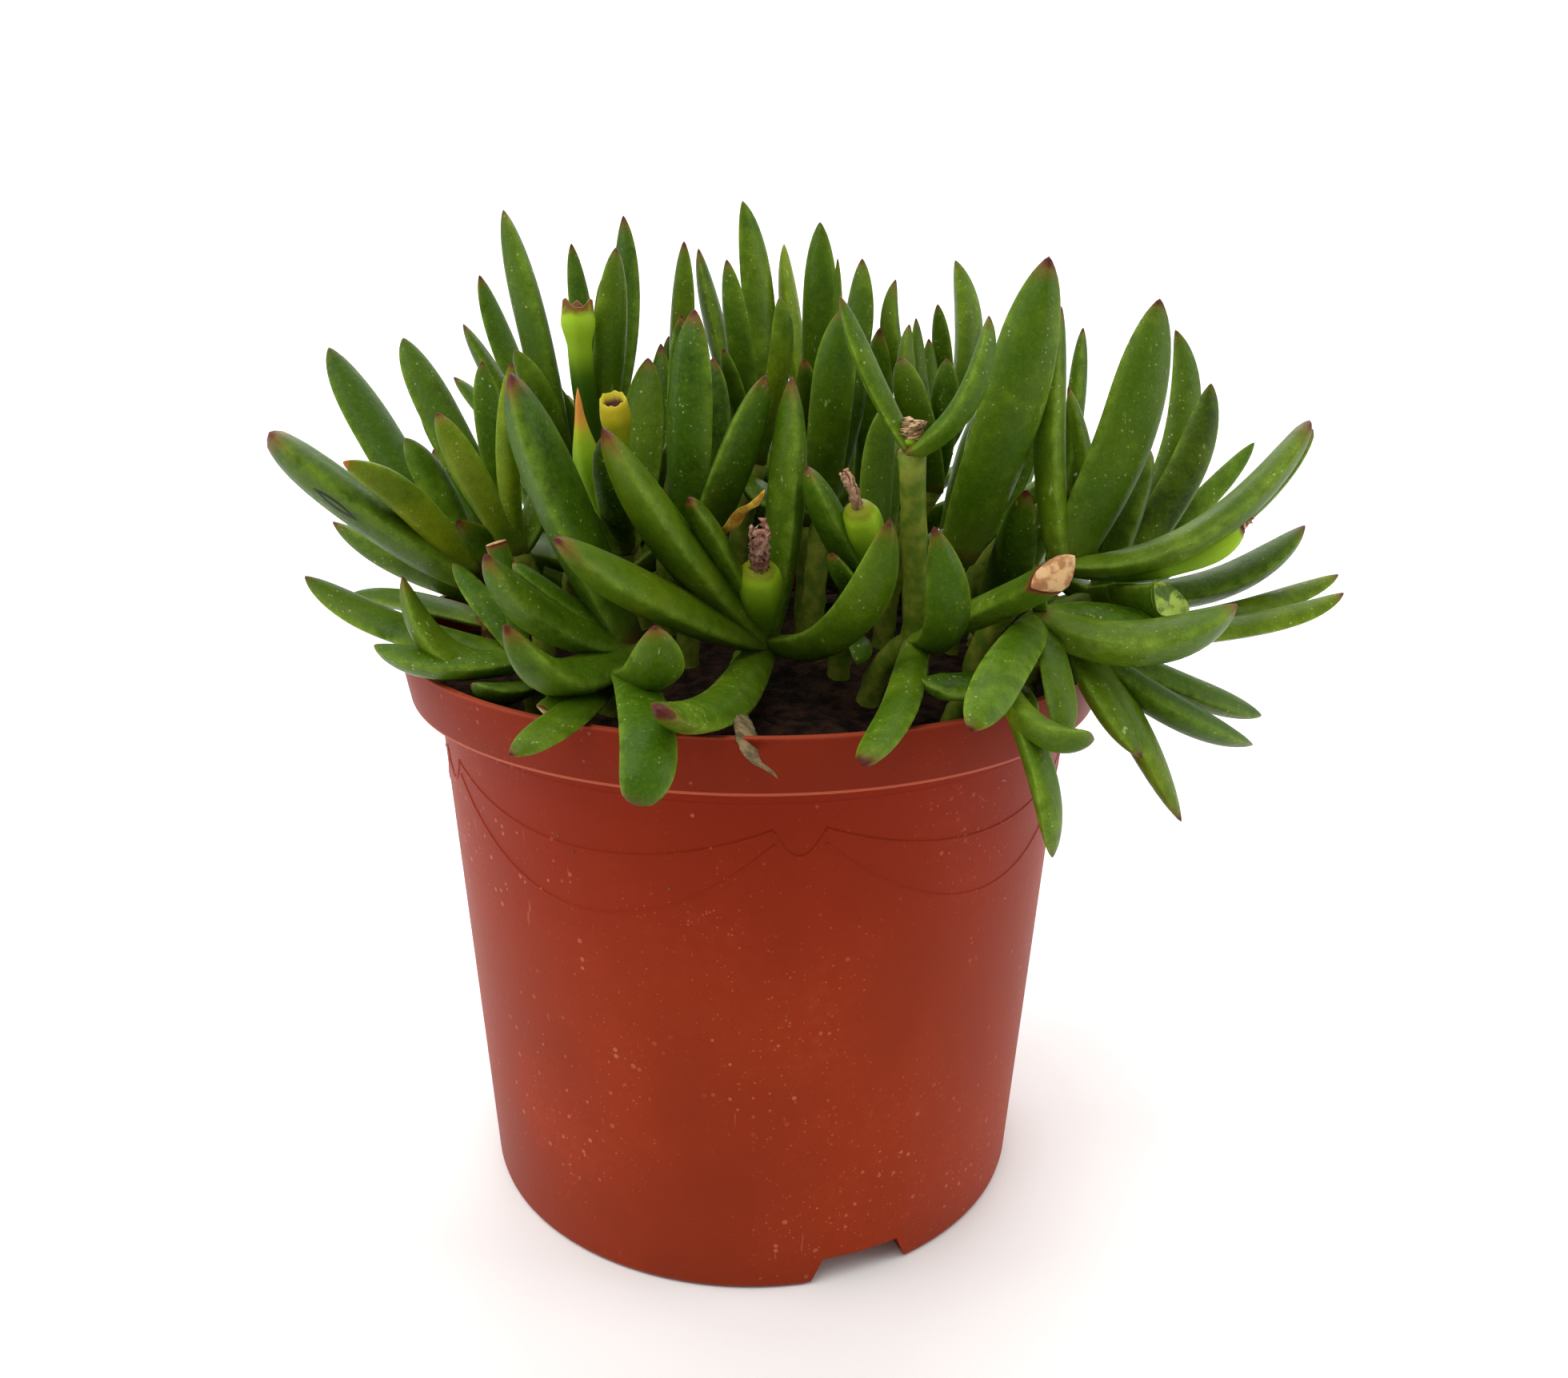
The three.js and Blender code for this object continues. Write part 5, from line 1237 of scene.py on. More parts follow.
def build_pot(material):
    """The nursery pot: turned wall with a stepped rim, drainage channels and hanger holes."""
    pot = object_from("fine_pot", lathe_mesh("fine_pot", pot_outline(), POT_SIDES), material)
    for k in range(NOTCH_COUNT):
        bearing = NOTCH_BEARING + 360 * k / NOTCH_COUNT
        vault = object_from("vault", channel_mesh(bearing, WALL), material)
        combine(vault, lathe_mesh("foot", FOOT_OUTLINE, POT_SIDES), "INTERSECT")
        combine(pot, vault.data.copy(), "UNION")
        bpy.data.objects.remove(vault)
        combine(pot, channel_mesh(bearing, 0))
    low = POT_HEIGHT - BAND_HEIGHT - HANGER_DROP - 0.5 * HANGER_HEIGHT
    high = low + HANGER_HEIGHT
    half = 0.5 * HANGER_WIDTH
    for bearing in HANGER_BEARINGS:
        outline = [(-half, low), (half, low), (half, high), (-half, high)]
        depth = (-BODY_TOP_RADIUS - HANGER_CUT, -BODY_TOP_RADIUS + HANGER_CUT)
        slot = prism("slot", outline, depth)
        combine(pot, turned(slot, bearing))
    smoothed(pot.data)
    pot.data.set_sharp_from_angle(angle=math.radians(SHARP_ANGLE))
    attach(pot, "root")
    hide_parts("pot")
    return pot

def soil_outline():
    band_foot = POT_HEIGHT - BAND_HEIGHT
    low = WALL + NOTCH_HEIGHT + VAULT_CLEAR
    high = band_foot + WALL + SOIL_GAP
    outline = [
        (0, low),
        (BASE_RADIUS - WALL - FOOT_CLEAR, low),
        (BODY_TOP_RADIUS - WALL - SOIL_GAP, high),
        (BAND_FOOT_RADIUS - WALL - SOIL_GAP, high),
    ]
    for k in range(SOIL_RINGS + 1):
        radius = (RIM_RADIUS - WALL - SOIL_INSET) * (1 - k / SOIL_RINGS)
        outline.append((radius, soil_height(radius, 0)))
    return outline

def build_soil(material):
    """Peat: a turned plug with a lumpy top, for crumbs and fibres to be strewn on."""
    mesh = lathe_mesh("fine_soil", soil_outline(), SOIL_SIDES)
    for vertex in mesh.vertices:
        x, y, z = vertex.co / MM
        radius = math.hypot(x, y)
        if z > soil_height(radius, 0) - 0.2:
            fade = min(1.0, (RIM_RADIUS - WALL - SOIL_INSET - radius) / LUMP_FADE)
            lumps = sum(rise * noise.noise(Vector((x, y, layer)) / spread)
                        for rise, spread, layer in LUMPS)
            vertex.co.z += fade * lumps * MM
    soil = object_from("fine_soil", mesh, material)
    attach(soil, "root")
    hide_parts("soil")
    return soil

class Graph:
    """Adds nodes to a tree, and links or sets their inputs."""

    def __init__(self, tree):
        self.tree = tree

    def add(self, kind, inputs=(), **settings):
        node = self.tree.nodes.new(kind)
        for name, value in settings.items():
            setattr(node, name, value)
        for key, value in dict(inputs).items():
            self.put(node.inputs[key], value)
        return node

    def put(self, socket, value):
        if isinstance(value, bpy.types.NodeSocket):
            self.tree.links.new(value, socket)
        else:
            socket.default_value = value

def new_tree(name, inputs):
    """The graph of a new geometry tree, and its inputs: a geometry, those named, a material."""
    tree = bpy.data.node_groups.new(name, "GeometryNodeTree")
    first = ("Geometry", "NodeSocketGeometry", None)
    last = ("Material", "NodeSocketMaterial", None)
    for label, kind, value in (first, *inputs, last):
        socket = tree.interface.new_socket(label, in_out="INPUT", socket_type=kind)
        if value is not None:
            socket.default_value = value
    tree.interface.new_socket("Geometry", in_out="OUTPUT", socket_type="NodeSocketGeometry")
    graph = Graph(tree)
    return graph, graph.add("NodeGroupInput").outputs

def set_inputs(modifier, values):
    """Sets a modifier's inputs by the name of each."""
    for item in modifier.node_group.interface.items_tree:
        if item.item_type == "SOCKET" and item.in_out == "INPUT" and item.name in values:
            modifier[item.identifier] = values[item.name]

def finish_tree(graph, geometry, source):
    realized = graph.add("GeometryNodeRealizeInstances", {"Geometry": geometry}).outputs[0]
    inputs = {"Geometry": realized, "Material": source["Material"]}
    painted = graph.add("GeometryNodeSetMaterial", inputs)
    graph.add("NodeGroupOutput", {"Geometry": painted.outputs[0]})
    return graph.tree

def scatter_tree():
    """Small lumps strewn over the faces of the mesh that look up, within a radius of the axis."""
    graph, source = new_tree("Strewn crumbs", (
        ("Density", "NodeSocketFloat", 90000.0),
        ("Seed", "NodeSocketInt", 1),
        ("Size", "NodeSocketFloat", 0.001),
        ("Stretch", "NodeSocketVector", (1.0, 0.8, 0.6)),
        ("Reach", "NodeSocketFloat", 0.07),
    ))
    add = graph.add
    rise = add("ShaderNodeSeparateXYZ", {0: add("GeometryNodeInputNormal").outputs[0]}).outputs["Z"]
    upward = add("FunctionNodeCompare", {"A": rise, "B": LEAST_UPWARD}).outputs[0]
    place = add("GeometryNodeInputPosition").outputs[0]
    flat = add("ShaderNodeVectorMath", {0: place, 1: (1, 1, 0)}, operation="MULTIPLY").outputs[0]
    radius = add("ShaderNodeVectorMath", {0: flat}, operation="LENGTH").outputs["Value"]
    within = add("FunctionNodeCompare", {"A": radius, "B": source["Reach"]}, operation="LESS_THAN")
    both = add("FunctionNodeBooleanMath", {0: upward, 1: within.outputs[0]}).outputs[0]
    strewn = add("GeometryNodeDistributePointsOnFaces", {
        "Mesh": source["Geometry"], "Selection": both,
        "Density": source["Density"], "Seed": source["Seed"],
    })
    lump = add("GeometryNodeMeshIcoSphere", {"Subdivisions": 1, "Radius": 1.0}).outputs["Mesh"]
    faceted = add("GeometryNodeSetShadeSmooth", {"Geometry": lump, "Shade Smooth": False})
    angles = {"Min": (0, 0, 0), "Max": FULL_TURN}
    turn = add("FunctionNodeRandomValue", angles, data_type="FLOAT_VECTOR")
    sizes = {2: LUMP_SIZES[0], 3: LUMP_SIZES[1], "Seed": source["Seed"]}
    size = add("FunctionNodeRandomValue", sizes, data_type="FLOAT").outputs[1]
    sized = add("ShaderNodeMath", {0: size, 1: source["Size"]}, operation="MULTIPLY").outputs[0]
    scale = add("ShaderNodeVectorMath", {0: source["Stretch"], "Scale": sized}, operation="SCALE")
    lumps = add("GeometryNodeInstanceOnPoints", {
        "Points": strewn.outputs["Points"], "Instance": faceted.outputs[0],
        "Rotation": turn.outputs[0], "Scale": scale.outputs[0],
    })
    return finish_tree(graph, lumps.outputs["Instances"], source)

def strew(name, ground, material, tree, values):
    """A piece of crumbs on the ground's surface, made by the scatter tree."""
    piece = linked(name, ground.data.copy())
    modifier = piece.modifiers.new("strew", "NODES")
    modifier.node_group = tree
    set_inputs(modifier, {**values, "Material": material})
    applied(piece)
    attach(piece, "root")
    return piece

def ring_tree():
    """A raised line swept along the curves, repeated evenly round the pot."""
    graph, source = new_tree("Raised lines round the pot", (
        ("Line radius", "NodeSocketFloat", 0.0004),
        ("Repeats", "NodeSocketInt", 6),
        ("Turn", "NodeSocketFloat", 1.0),
    ))
    add = graph.add
    circle = {"Resolution": 8, "Radius": source["Line radius"]}
    outline = add("GeometryNodeCurvePrimitiveCircle", circle)
    line = add("GeometryNodeCurveToMesh", {
        "Curve": source["Geometry"], "Profile Curve": outline.outputs["Curve"], "Fill Caps": True,
    })
    smooth = add("GeometryNodeSetShadeSmooth", {"Geometry": line.outputs["Mesh"]}).outputs[0]
    points = add("GeometryNodePoints", {"Count": source["Repeats"]}).outputs[0]
    index = add("GeometryNodeInputIndex").outputs[0]
    angle = add("ShaderNodeMath", {0: index, 1: source["Turn"]}, operation="MULTIPLY").outputs[0]
    turn = add("ShaderNodeCombineXYZ", {"Z": angle}).outputs[0]
    repeats = {"Points": points, "Instance": smooth, "Rotation": turn}
    lines = add("GeometryNodeInstanceOnPoints", repeats)
    return finish_tree(graph, lines.outputs["Instances"], source)

def curve_object(name, lines, closed):
    """Poly splines through the points of each line, in millimetres."""
    curve = bpy.data.curves.new(name, "CURVE")
    curve.dimensions = "3D"
    for line in lines:
        spline = curve.splines.new("POLY")
        spline.points.add(len(line) - 1)
        for point, place in zip(spline.points, line):
            point.co = (place[0] * MM, place[1] * MM, place[2] * MM, 1)
            point.radius = 1
        spline.use_cyclic_u = closed
    piece = linked(name, curve)
    return piece

def raised_lines(name, lines, closed, repeats, line_radius, tree, material):
    """Turns curves into raised lines on the pot's wall as one plain mesh."""
    curves = curve_object(f"{name}_lines", lines, closed)
    modifier = curves.modifiers.new("raise", "NODES")
    modifier.node_group = tree
    set_inputs(modifier, {"Line radius": line_radius, "Repeats": repeats,
                          "Turn": 2 * math.pi / repeats, "Material": material})
    bpy.context.view_layer.update()
    evaluated = curves.evaluated_get(bpy.context.evaluated_depsgraph_get())
    mesh = bpy.data.meshes.new_from_object(evaluated)
    bpy.data.objects.remove(curves)
    piece = linked(name, mesh)
    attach(piece, "root")
    return piece

def on_wall(bearing, height, sunk):
    """A point on the pot's wall at a bearing from the front, in degrees to the right."""
    turn = math.radians(bearing)
    radius = wall_radius(height) - sunk
    return (radius * math.sin(turn), -radius * math.cos(turn), height)

def swag_lines():
    """One repeat of the ornament: two hanging arcs and a small scallop where swags meet."""
    lines = []
    for start, end, height, sag in SWAG_ARCS:
        line = []
        for t in np.linspace(0, 1, 25):
            drop = sag * 4 * t * (1 - t)
            line.append(on_wall(start + (end - start) * t, height - drop, RELIEF_SUNK))
        lines.append(line)
    return lines

def ring_line(height, sides=160):
    return [on_wall(360 * k / sides, height, RELIEF_SUNK) for k in range(sides)]

def srgb(red, green, blue):
    """A colour given in screen values from 0 to 255, as the linear values that shaders take."""
    linear = []
    for value in (red, green, blue):
        share = value / 255
        linear.append(share / 12.92 if share <= 0.04045 else ((share + 0.055) / 1.055) ** 2.4)
    return (*linear, 1.0)

class Paint(Graph):
    """Builds one procedural material; every method gives back the socket of what it made."""

    def __init__(self, name):
        self.material = bpy.data.materials.new(name)
        self.material.use_nodes = True
        super().__init__(self.material.node_tree)
        self.shader = self.tree.nodes["Principled BSDF"]
        self.place = self.add("ShaderNodeTexCoord").outputs["Object"]

    def math(self, operation, a, b=0.0):
        return self.add("ShaderNodeMath", {0: a, 1: b}, operation=operation).outputs[0]

    def times(self, a, b):
        return self.math("MULTIPLY", a, b)

    def plus(self, a, b):
        return self.math("ADD", a, b)

    def attribute(self, name):
        return self.add("ShaderNodeAttribute", attribute_name=name).outputs["Fac"]

    def noise(self, scale, detail=2.0, stretch=(1, 1, 1), roughness=0.55):
        place = self.place
        if stretch != (1, 1, 1):
            place = self.add("ShaderNodeMapping", {"Vector": place, "Scale": stretch}).outputs[0]
        inputs = {"Vector": place, "Scale": scale, "Detail": detail, "Roughness": roughness}
        return self.add("ShaderNodeTexNoise", inputs).outputs["Fac"]

    def specks(self, scale, size, share, seed=0.0):
        """Round dots, one in some of the cells of a loose grid: 1 inside a dot and 0 outside."""
        inputs = {"Vector": self.place, "Location": (seed, seed, seed)}
        shift = self.add("ShaderNodeMapping", inputs)
        cells = self.add("ShaderNodeTexVoronoi", {"Vector": shift.outputs[0], "Scale": scale})
        picked = self.add("ShaderNodeSeparateColor", {"Color": cells.outputs["Color"]})
        chosen = self.math("LESS_THAN", picked.outputs["Red"], share)
        reach = self.times(picked.outputs["Green"], size)
        inside = self.math("LESS_THAN", cells.outputs["Distance"], reach)
        return self.times(chosen, inside)

    def ramp(self, value, low, high, to=1.0):
        """0 below low and to above high, smooth between; or falling, where low is above high."""
        inputs = {"Value": value, "From Min": low, "From Max": high, "To Max": to}
        node = self.add("ShaderNodeMapRange", inputs, interpolation_type="SMOOTHSTEP")
        return node.outputs["Result"]

    def mix(self, share, a, b):
        node = self.add("ShaderNodeMix", {0: share, 6: a, 7: b}, data_type="RGBA")
        return node.outputs[2]

    def layered(self, colour, layers):
        """The colour with the tint of each layer laid over it by its share."""
        for share, tint in layers:
            colour = self.mix(share, colour, srgb(*tint))
        return colour

    def bump(self, height, strength, distance):
        inputs = {"Height": height, "Strength": strength, "Distance": distance}
        return self.add("ShaderNodeBump", inputs).outputs["Normal"]

    def finish(self, colour, roughness, normal, **values):
        self.put(self.shader.inputs["Base Color"], colour)
        self.put(self.shader.inputs["Roughness"], roughness)
        self.put(self.shader.inputs["Normal"], normal)
        for name, value in values.items():
            self.shader.inputs[name.replace("_", " ")].default_value = value
        return self.material

def scar_of(paint):
    """The healed slit on a leaf: how far out in it a point is, and whether it is inside."""
    sight = unit(seen(SCAR_MIDDLE) - EYE)
    length = unit(PICTURE_RIGHT * SCAR_RUN[0] - PICTURE_UP * SCAR_RUN[1])
    across = unit(np.cross(length, sight))
    middle = tuple(seen(SCAR_MIDDLE) * MM)
    place = paint.add("ShaderNodeVectorMath", {0: paint.place, 1: middle}, operation="SUBTRACT")
    shares = []
    for way, reach in ((length, SCAR_HALF_LENGTH), (across, SCAR_HALF_WIDTH), (sight, SCAR_DEPTH)):
        inputs = {0: place.outputs[0], 1: tuple(way)}
        along = paint.add("ShaderNodeVectorMath", inputs, operation="DOT_PRODUCT").outputs["Value"]
        shares.append(paint.math("ABSOLUTE", paint.math("DIVIDE", along, reach * MM)))
    lens = paint.plus(paint.times(shares[0], shares[0]), shares[1])
    near = paint.math("LESS_THAN", shares[2], 1.0)
    inside = paint.times(paint.math("LESS_THAN", lens, 1.0), near)
    return lens, inside

class LeafPaint(Paint):
    """The values and noises of the waxy skin, and the colours of what grows on a stem."""

    def __init__(self, look):
        super().__init__("Waxy leaf")
        for name in ("along", "edge", "tone", "sun", "end", "kind"):
            setattr(self, name, self.attribute(name))
        self.broad, self.middling = self.noise(70, 3.0), self.noise(380, 4.0)
        self.fine = self.noise(2400)
        self.cloudy = self.math("SUBTRACT", self.times(self.middling, 0.6), 0.3)
        self.uneven = self.plus(self.along, self.times(self.cloudy, 0.12))
        self.dots = self.specks(1500, 0.4, 0.16)
        self.look = look

    def where(self, kind):
        return self.math("COMPARE", self.kind, KINDS[kind])

    def leaf(self):
        """Green from dark to light by the leaf's tone, with what lies over it from foot to tip."""
        patchy = self.plus(self.times(self.broad, 0.8), 0.1)
        light = self.plus(self.times(self.tone, 0.45), self.plus(self.cloudy, patchy))
        dark = self.mix(self.ramp(light, 0.0, 0.5), srgb(25, 47, 2), srgb(60, 92, 8))
        sunny = self.times(self.sun, self.ramp(self.broad, 0.2, 0.7))
        foot = self.times(self.ramp(self.along, 0.22, 0.0), 0.5)
        keel = self.times(self.edge, self.ramp(self.middling, 0.1, 0.8, 0.75))
        veil = self.ramp(self.noise(1300, 3.0), 0.46, 0.7, 0.34)
        mottle = self.ramp(self.fine, 0.4, 0.62, 0.2)
        brown = self.ramp(self.middling, 0.42, 0.56, 0.8)
        scratched = self.ramp(self.noise(700, 2.0, (1, 1, 0.3)), 0.7, 0.75)
        spots = self.times(self.dots, self.ramp(self.broad, 0.4, 0.6))
        return self.layered(dark, (
            (self.ramp(light, 0.5, 1.05), (112, 146, 30)),
            (sunny, (140, 148, 14)),
            (foot, (120, 140, 42)),
            (keel, (136, 168, 52)),
            (veil, (92, 120, 22)),
            (mottle, (34, 56, 4)),
            (self.times(self.ramp(self.along, 0.08, 0.03), brown), (122, 92, 44)),
            (self.times(scratched, self.ramp(self.broad, 0.45, 0.6, 0.5)), (176, 192, 122)),
            (self.times(spots, self.look.dots), (196, 206, 146)),
            (self.times(self.end, self.ramp(self.uneven, 0.9, 0.99, 0.8)), (116, 66, 26)),
        ))

    def tipped(self, colour):
        """The colour with its burnt tip and edges, and the healed slit."""
        burnt = self.times(self.ramp(self.end, 0.0, 0.5), self.ramp(self.uneven, 0.955, 0.99))
        scorched = self.mix(self.ramp(self.sun, 0.6, 0.9), srgb(74, 24, 18), srgb(190, 118, 40))
        rim = self.times(self.times(self.edge, self.end), self.ramp(self.along, 0.82, 1.0, 0.7))
        lens, reached = scar_of(self)
        return self.layered(self.mix(burnt, colour, scorched), (
            (rim, (104, 46, 30)),
            (reached, (78, 98, 44)),
            (self.times(reached, self.ramp(lens, 0.15, 0.5)), (24, 34, 10)),
        ))

    def stem(self):
        green = self.mix(self.ramp(self.middling, 0.35, 0.7), srgb(84, 108, 26), srgb(126, 132, 46))
        woody = self.mix(self.ramp(self.middling, 0.4, 0.6), srgb(66, 44, 22), srgb(128, 96, 52))
        return self.mix(self.end, green, woody)

    def fruit(self):
        """A capsule, deep green below and light above, with a red, amber or parched top."""
        above = self.math("SUBTRACT", self.along, self.edge)
        deep = self.mix(self.ramp(above, 0.0, 0.22), srgb(56, 90, 10), srgb(112, 150, 20))
        amber = self.times(self.ramp(self.sun, 0.84, 0.88), self.ramp(self.along, 0.6, 0.95, 0.55))
        dry = self.math("GREATER_THAN", self.sun, 0.97)
        return self.layered(deep, (
            (self.ramp(self.along, 0.5, 0.95), (150, 184, 36)),
            (self.times(self.end, self.ramp(self.uneven, 0.93, 0.985)), (96, 28, 14)),
            (amber, (196, 142, 20)),
            (self.times(dry, self.ramp(self.uneven, 0.72, 0.84)), (196, 128, 54)),
            (self.ramp(self.along, 1.035, 1.07), (66, 20, 8)),
        ))

    def cut(self):
        """The pitted pith of a cut end, green or dry."""
        pith = self.mix(self.end, srgb(152, 174, 68), srgb(206, 168, 118))
        pits = self.mix(self.end, srgb(70, 98, 24), srgb(160, 112, 72))
        return self.mix(self.ramp(self.middling, 0.45, 0.6), pith, pits)

def leaf_material(look):
    """The waxy skin of leaves, stems, capsules and cut ends, each in its own colours."""
    paint = LeafPaint(look)
    colour = paint.tipped(paint.leaf())
    colour = paint.mix(paint.where("stem"), colour, paint.stem())
    colour = paint.mix(paint.where("fruit"), colour, paint.fruit())
    face = paint.times(paint.where("stub"), paint.ramp(paint.along, 0.988, 0.997))
    colour = paint.mix(face, colour, paint.cut())
    roughness = paint.plus(paint.ramp(paint.middling, 0.1, 0.9, 0.22), look.roughness)
    height = paint.plus(paint.times(paint.fine, 0.3), paint.times(paint.middling, 0.9))
    height = paint.plus(height, paint.times(paint.dots, 0.25))
    normal = paint.bump(height, 0.4, 0.0005)
    return paint.finish(colour, roughness, normal, Subsurface_Weight=0.05, Subsurface_Scale=0.002,
                        Coat_Weight=0.02, Coat_Roughness=0.35, Specular_IOR_Level=0.1)

def dry_material():
    """Papery brown petals and shrunken leaves, streaked along and patchy."""
    paint = Paint("Withered tissue")
    kind = paint.attribute("kind")
    streaks = paint.noise(420, 4.0, (1, 1, 0.3), 0.7)
    patches = paint.noise(150, 2.0)
    colour = paint.mix(paint.ramp(streaks, 0.3, 0.7), srgb(118, 66, 50), srgb(216, 166, 142))
    colour = paint.mix(paint.ramp(patches, 0.5, 0.75, 0.6), colour, srgb(168, 92, 80))
    colour = paint.mix(paint.attribute("end"), colour, srgb(208, 176, 126))
    leaf = paint.math("COMPARE", kind, KINDS["withered"])
    leaf_colour = paint.mix(paint.ramp(streaks, 0.35, 0.65), srgb(66, 60, 30), srgb(134, 112, 74))
    golden = paint.mix(paint.ramp(streaks, 0.35, 0.65), srgb(176, 112, 16), srgb(236, 196, 70))
    leaf_colour = paint.mix(paint.attribute("sun"), leaf_colour, golden)
    colour = paint.mix(leaf, colour, leaf_colour)
    height = paint.plus(streaks, paint.times(patches, 0.5))
    return paint.finish(colour, 0.85, paint.bump(height, 0.7, 0.0006), Subsurface_Weight=0.05,
                        Subsurface_Scale=0.001)

def pot_material(look):
    """Moulded terracotta-coloured plastic, dusty in patches, speckled and lightly scratched, with
    painted shade and highlights.
    """
    paint = Paint("Terracotta plastic")
    height = paint.add("ShaderNodeSeparateXYZ", {0: paint.place}).outputs["Z"]
    cloud, fine = paint.noise(24, 4.0), paint.noise(1100)
    base = (*look.colour, 1.0)
    darker = tuple(0.8 * value for value in look.colour) + (1.0,)
    colour = paint.mix(paint.ramp(cloud, 0.3, 0.7), darker, base)
    # Painted shade: from 55 mm up, the body turns darker and redder toward the lip, as in the lip's
    # shadow.
    deep = tuple(share * value for share, value in zip((0.78, 0.5, 0.4), look.colour)) + (1.0,)
    colour = paint.mix(paint.ramp(height, 0.055, 0.105, 0.7), colour, deep)
    dust = paint.times(paint.ramp(cloud, 0.42, 0.75), paint.ramp(paint.noise(420, 5.0), 0.4, 0.75))
    colour = paint.mix(paint.times(dust, 0.08), colour, srgb(190, 100, 70))
    patch = paint.ramp(paint.noise(30, 3.0), 0.46, 0.62)
    specks = paint.times(paint.specks(640, 0.36, 0.22), patch)
    grit = paint.times(paint.specks(1500, 0.4, 0.2, 0.3), paint.ramp(cloud, 0.4, 0.6))
    scratches = paint.times(paint.ramp(paint.noise(560, 2.0, (1, 1, 0.16)), 0.7, 0.76), patch)
    marks = paint.math("MAXIMUM", specks, paint.times(paint.math("MAXIMUM", scratches, grit), 0.6))
    colour = paint.mix(paint.times(marks, look.marks), colour, srgb(204, 122, 92))
    band_foot = (POT_HEIGHT - BAND_HEIGHT) * MM
    # Painted shade: the band under the rim is darkened, as if shaded by the leaves above.
    band = paint.ramp(height, band_foot - 0.0002, band_foot + 0.0002)
    painted_band_shade = tuple(0.5 * value for value in look.colour) + (1.0,)
    colour = paint.mix(paint.times(band, 0.45), colour, painted_band_shade)
    # Painted highlights: a thin light line along the foot of the band, and the top edge of the rim
    # lightened.
    band_foot_highlight = paint.math("COMPARE", height, band_foot + 0.0003)
    band_foot_highlight.node.inputs[2].default_value = 0.0004
    top = paint.ramp(height, (POT_HEIGHT - 0.7) * MM, (POT_HEIGHT - 0.1) * MM)
    painted_highlight = paint.math("MAXIMUM", band_foot_highlight, paint.times(top, 0.4))
    colour = paint.mix(paint.times(painted_highlight, 0.5), colour, srgb(206, 106, 78))
    roughness = paint.plus(paint.times(cloud, 0.18), 0.4)
    relief = paint.plus(paint.times(fine, 0.5), paint.times(cloud, 1.2))
    relief = paint.plus(relief, paint.times(marks, 0.3))
    normal = paint.bump(relief, 0.25, 0.0004)
    return paint.finish(colour, roughness, normal, Specular_IOR_Level=0.07)

def peat_material(name, light):
    """Dark peat; light is how far it goes toward the colour of dry crumbs and fibres."""
    paint = Paint(name)
    grain, lumps = paint.noise(1200, 3.0), paint.noise(300, 3.0)
    low, high = (srgb(18, 10, 7), srgb(96, 72, 50)), (srgb(52, 33, 22), srgb(196, 172, 136))
    dark, pale = (
        tuple(np.add(np.multiply(peat, 1 - light), np.multiply(dry, light)))
        for peat, dry in (low, high)
    )
    colour = paint.mix(paint.ramp(lumps, 0.35, 0.65), dark, pale)
    colour = paint.mix(paint.ramp(grain, 0.55, 0.75, 0.5), colour, srgb(16, 9, 6))
    height = paint.plus(grain, lumps)
    return paint.finish(colour, 0.95, paint.bump(height, 0.9, 0.0008), Specular_IOR_Level=0.1)

@functools.cache
def grown_shoots():
    """All stems as the rule grows them, with a few ends brought nearer to the eye."""
    shoots = grow_shoots()
    for leaf in [leaf for shoot in shoots for leaf in shoot.leaves]:
        step = leaf.look.get("nearer", 0) * unit(EYE - leaf.tip)
        leaf.via = leaf.via + 0.5 * step
        leaf.tip = leaf.tip + step
    return shoots

def material_of(name):
    """The material of that name, made when it is first asked for."""
    scene = bpy.context.scene
    if name in bpy.data.materials:
        return bpy.data.materials[name]
    if name == "Terracotta plastic":
        return pot_material(scene.pot_look)
    if name == "Waxy leaf":
        return leaf_material(scene.plant_look)
    if name == "Withered tissue":
        return dry_material()
    if name == "Peat":
        return peat_material(name, 0.0)
    if name == "Pale fibre":
        return peat_material(name, 0.8)
    raise ValueError(f"There is no material named {name}")

def area_light(name, place, aim, size, power, colour):
    light = bpy.data.lights.new(name, "AREA")
    light.shape = "RECTANGLE"
    light.size, light.size_y = size
    light.energy = power
    light.color = colour
    lamp = linked(name, light)
    lamp.location = place
    lamp.rotation_euler = (Vector(aim) - Vector(place)).to_track_quat("-Z", "Y").to_euler()

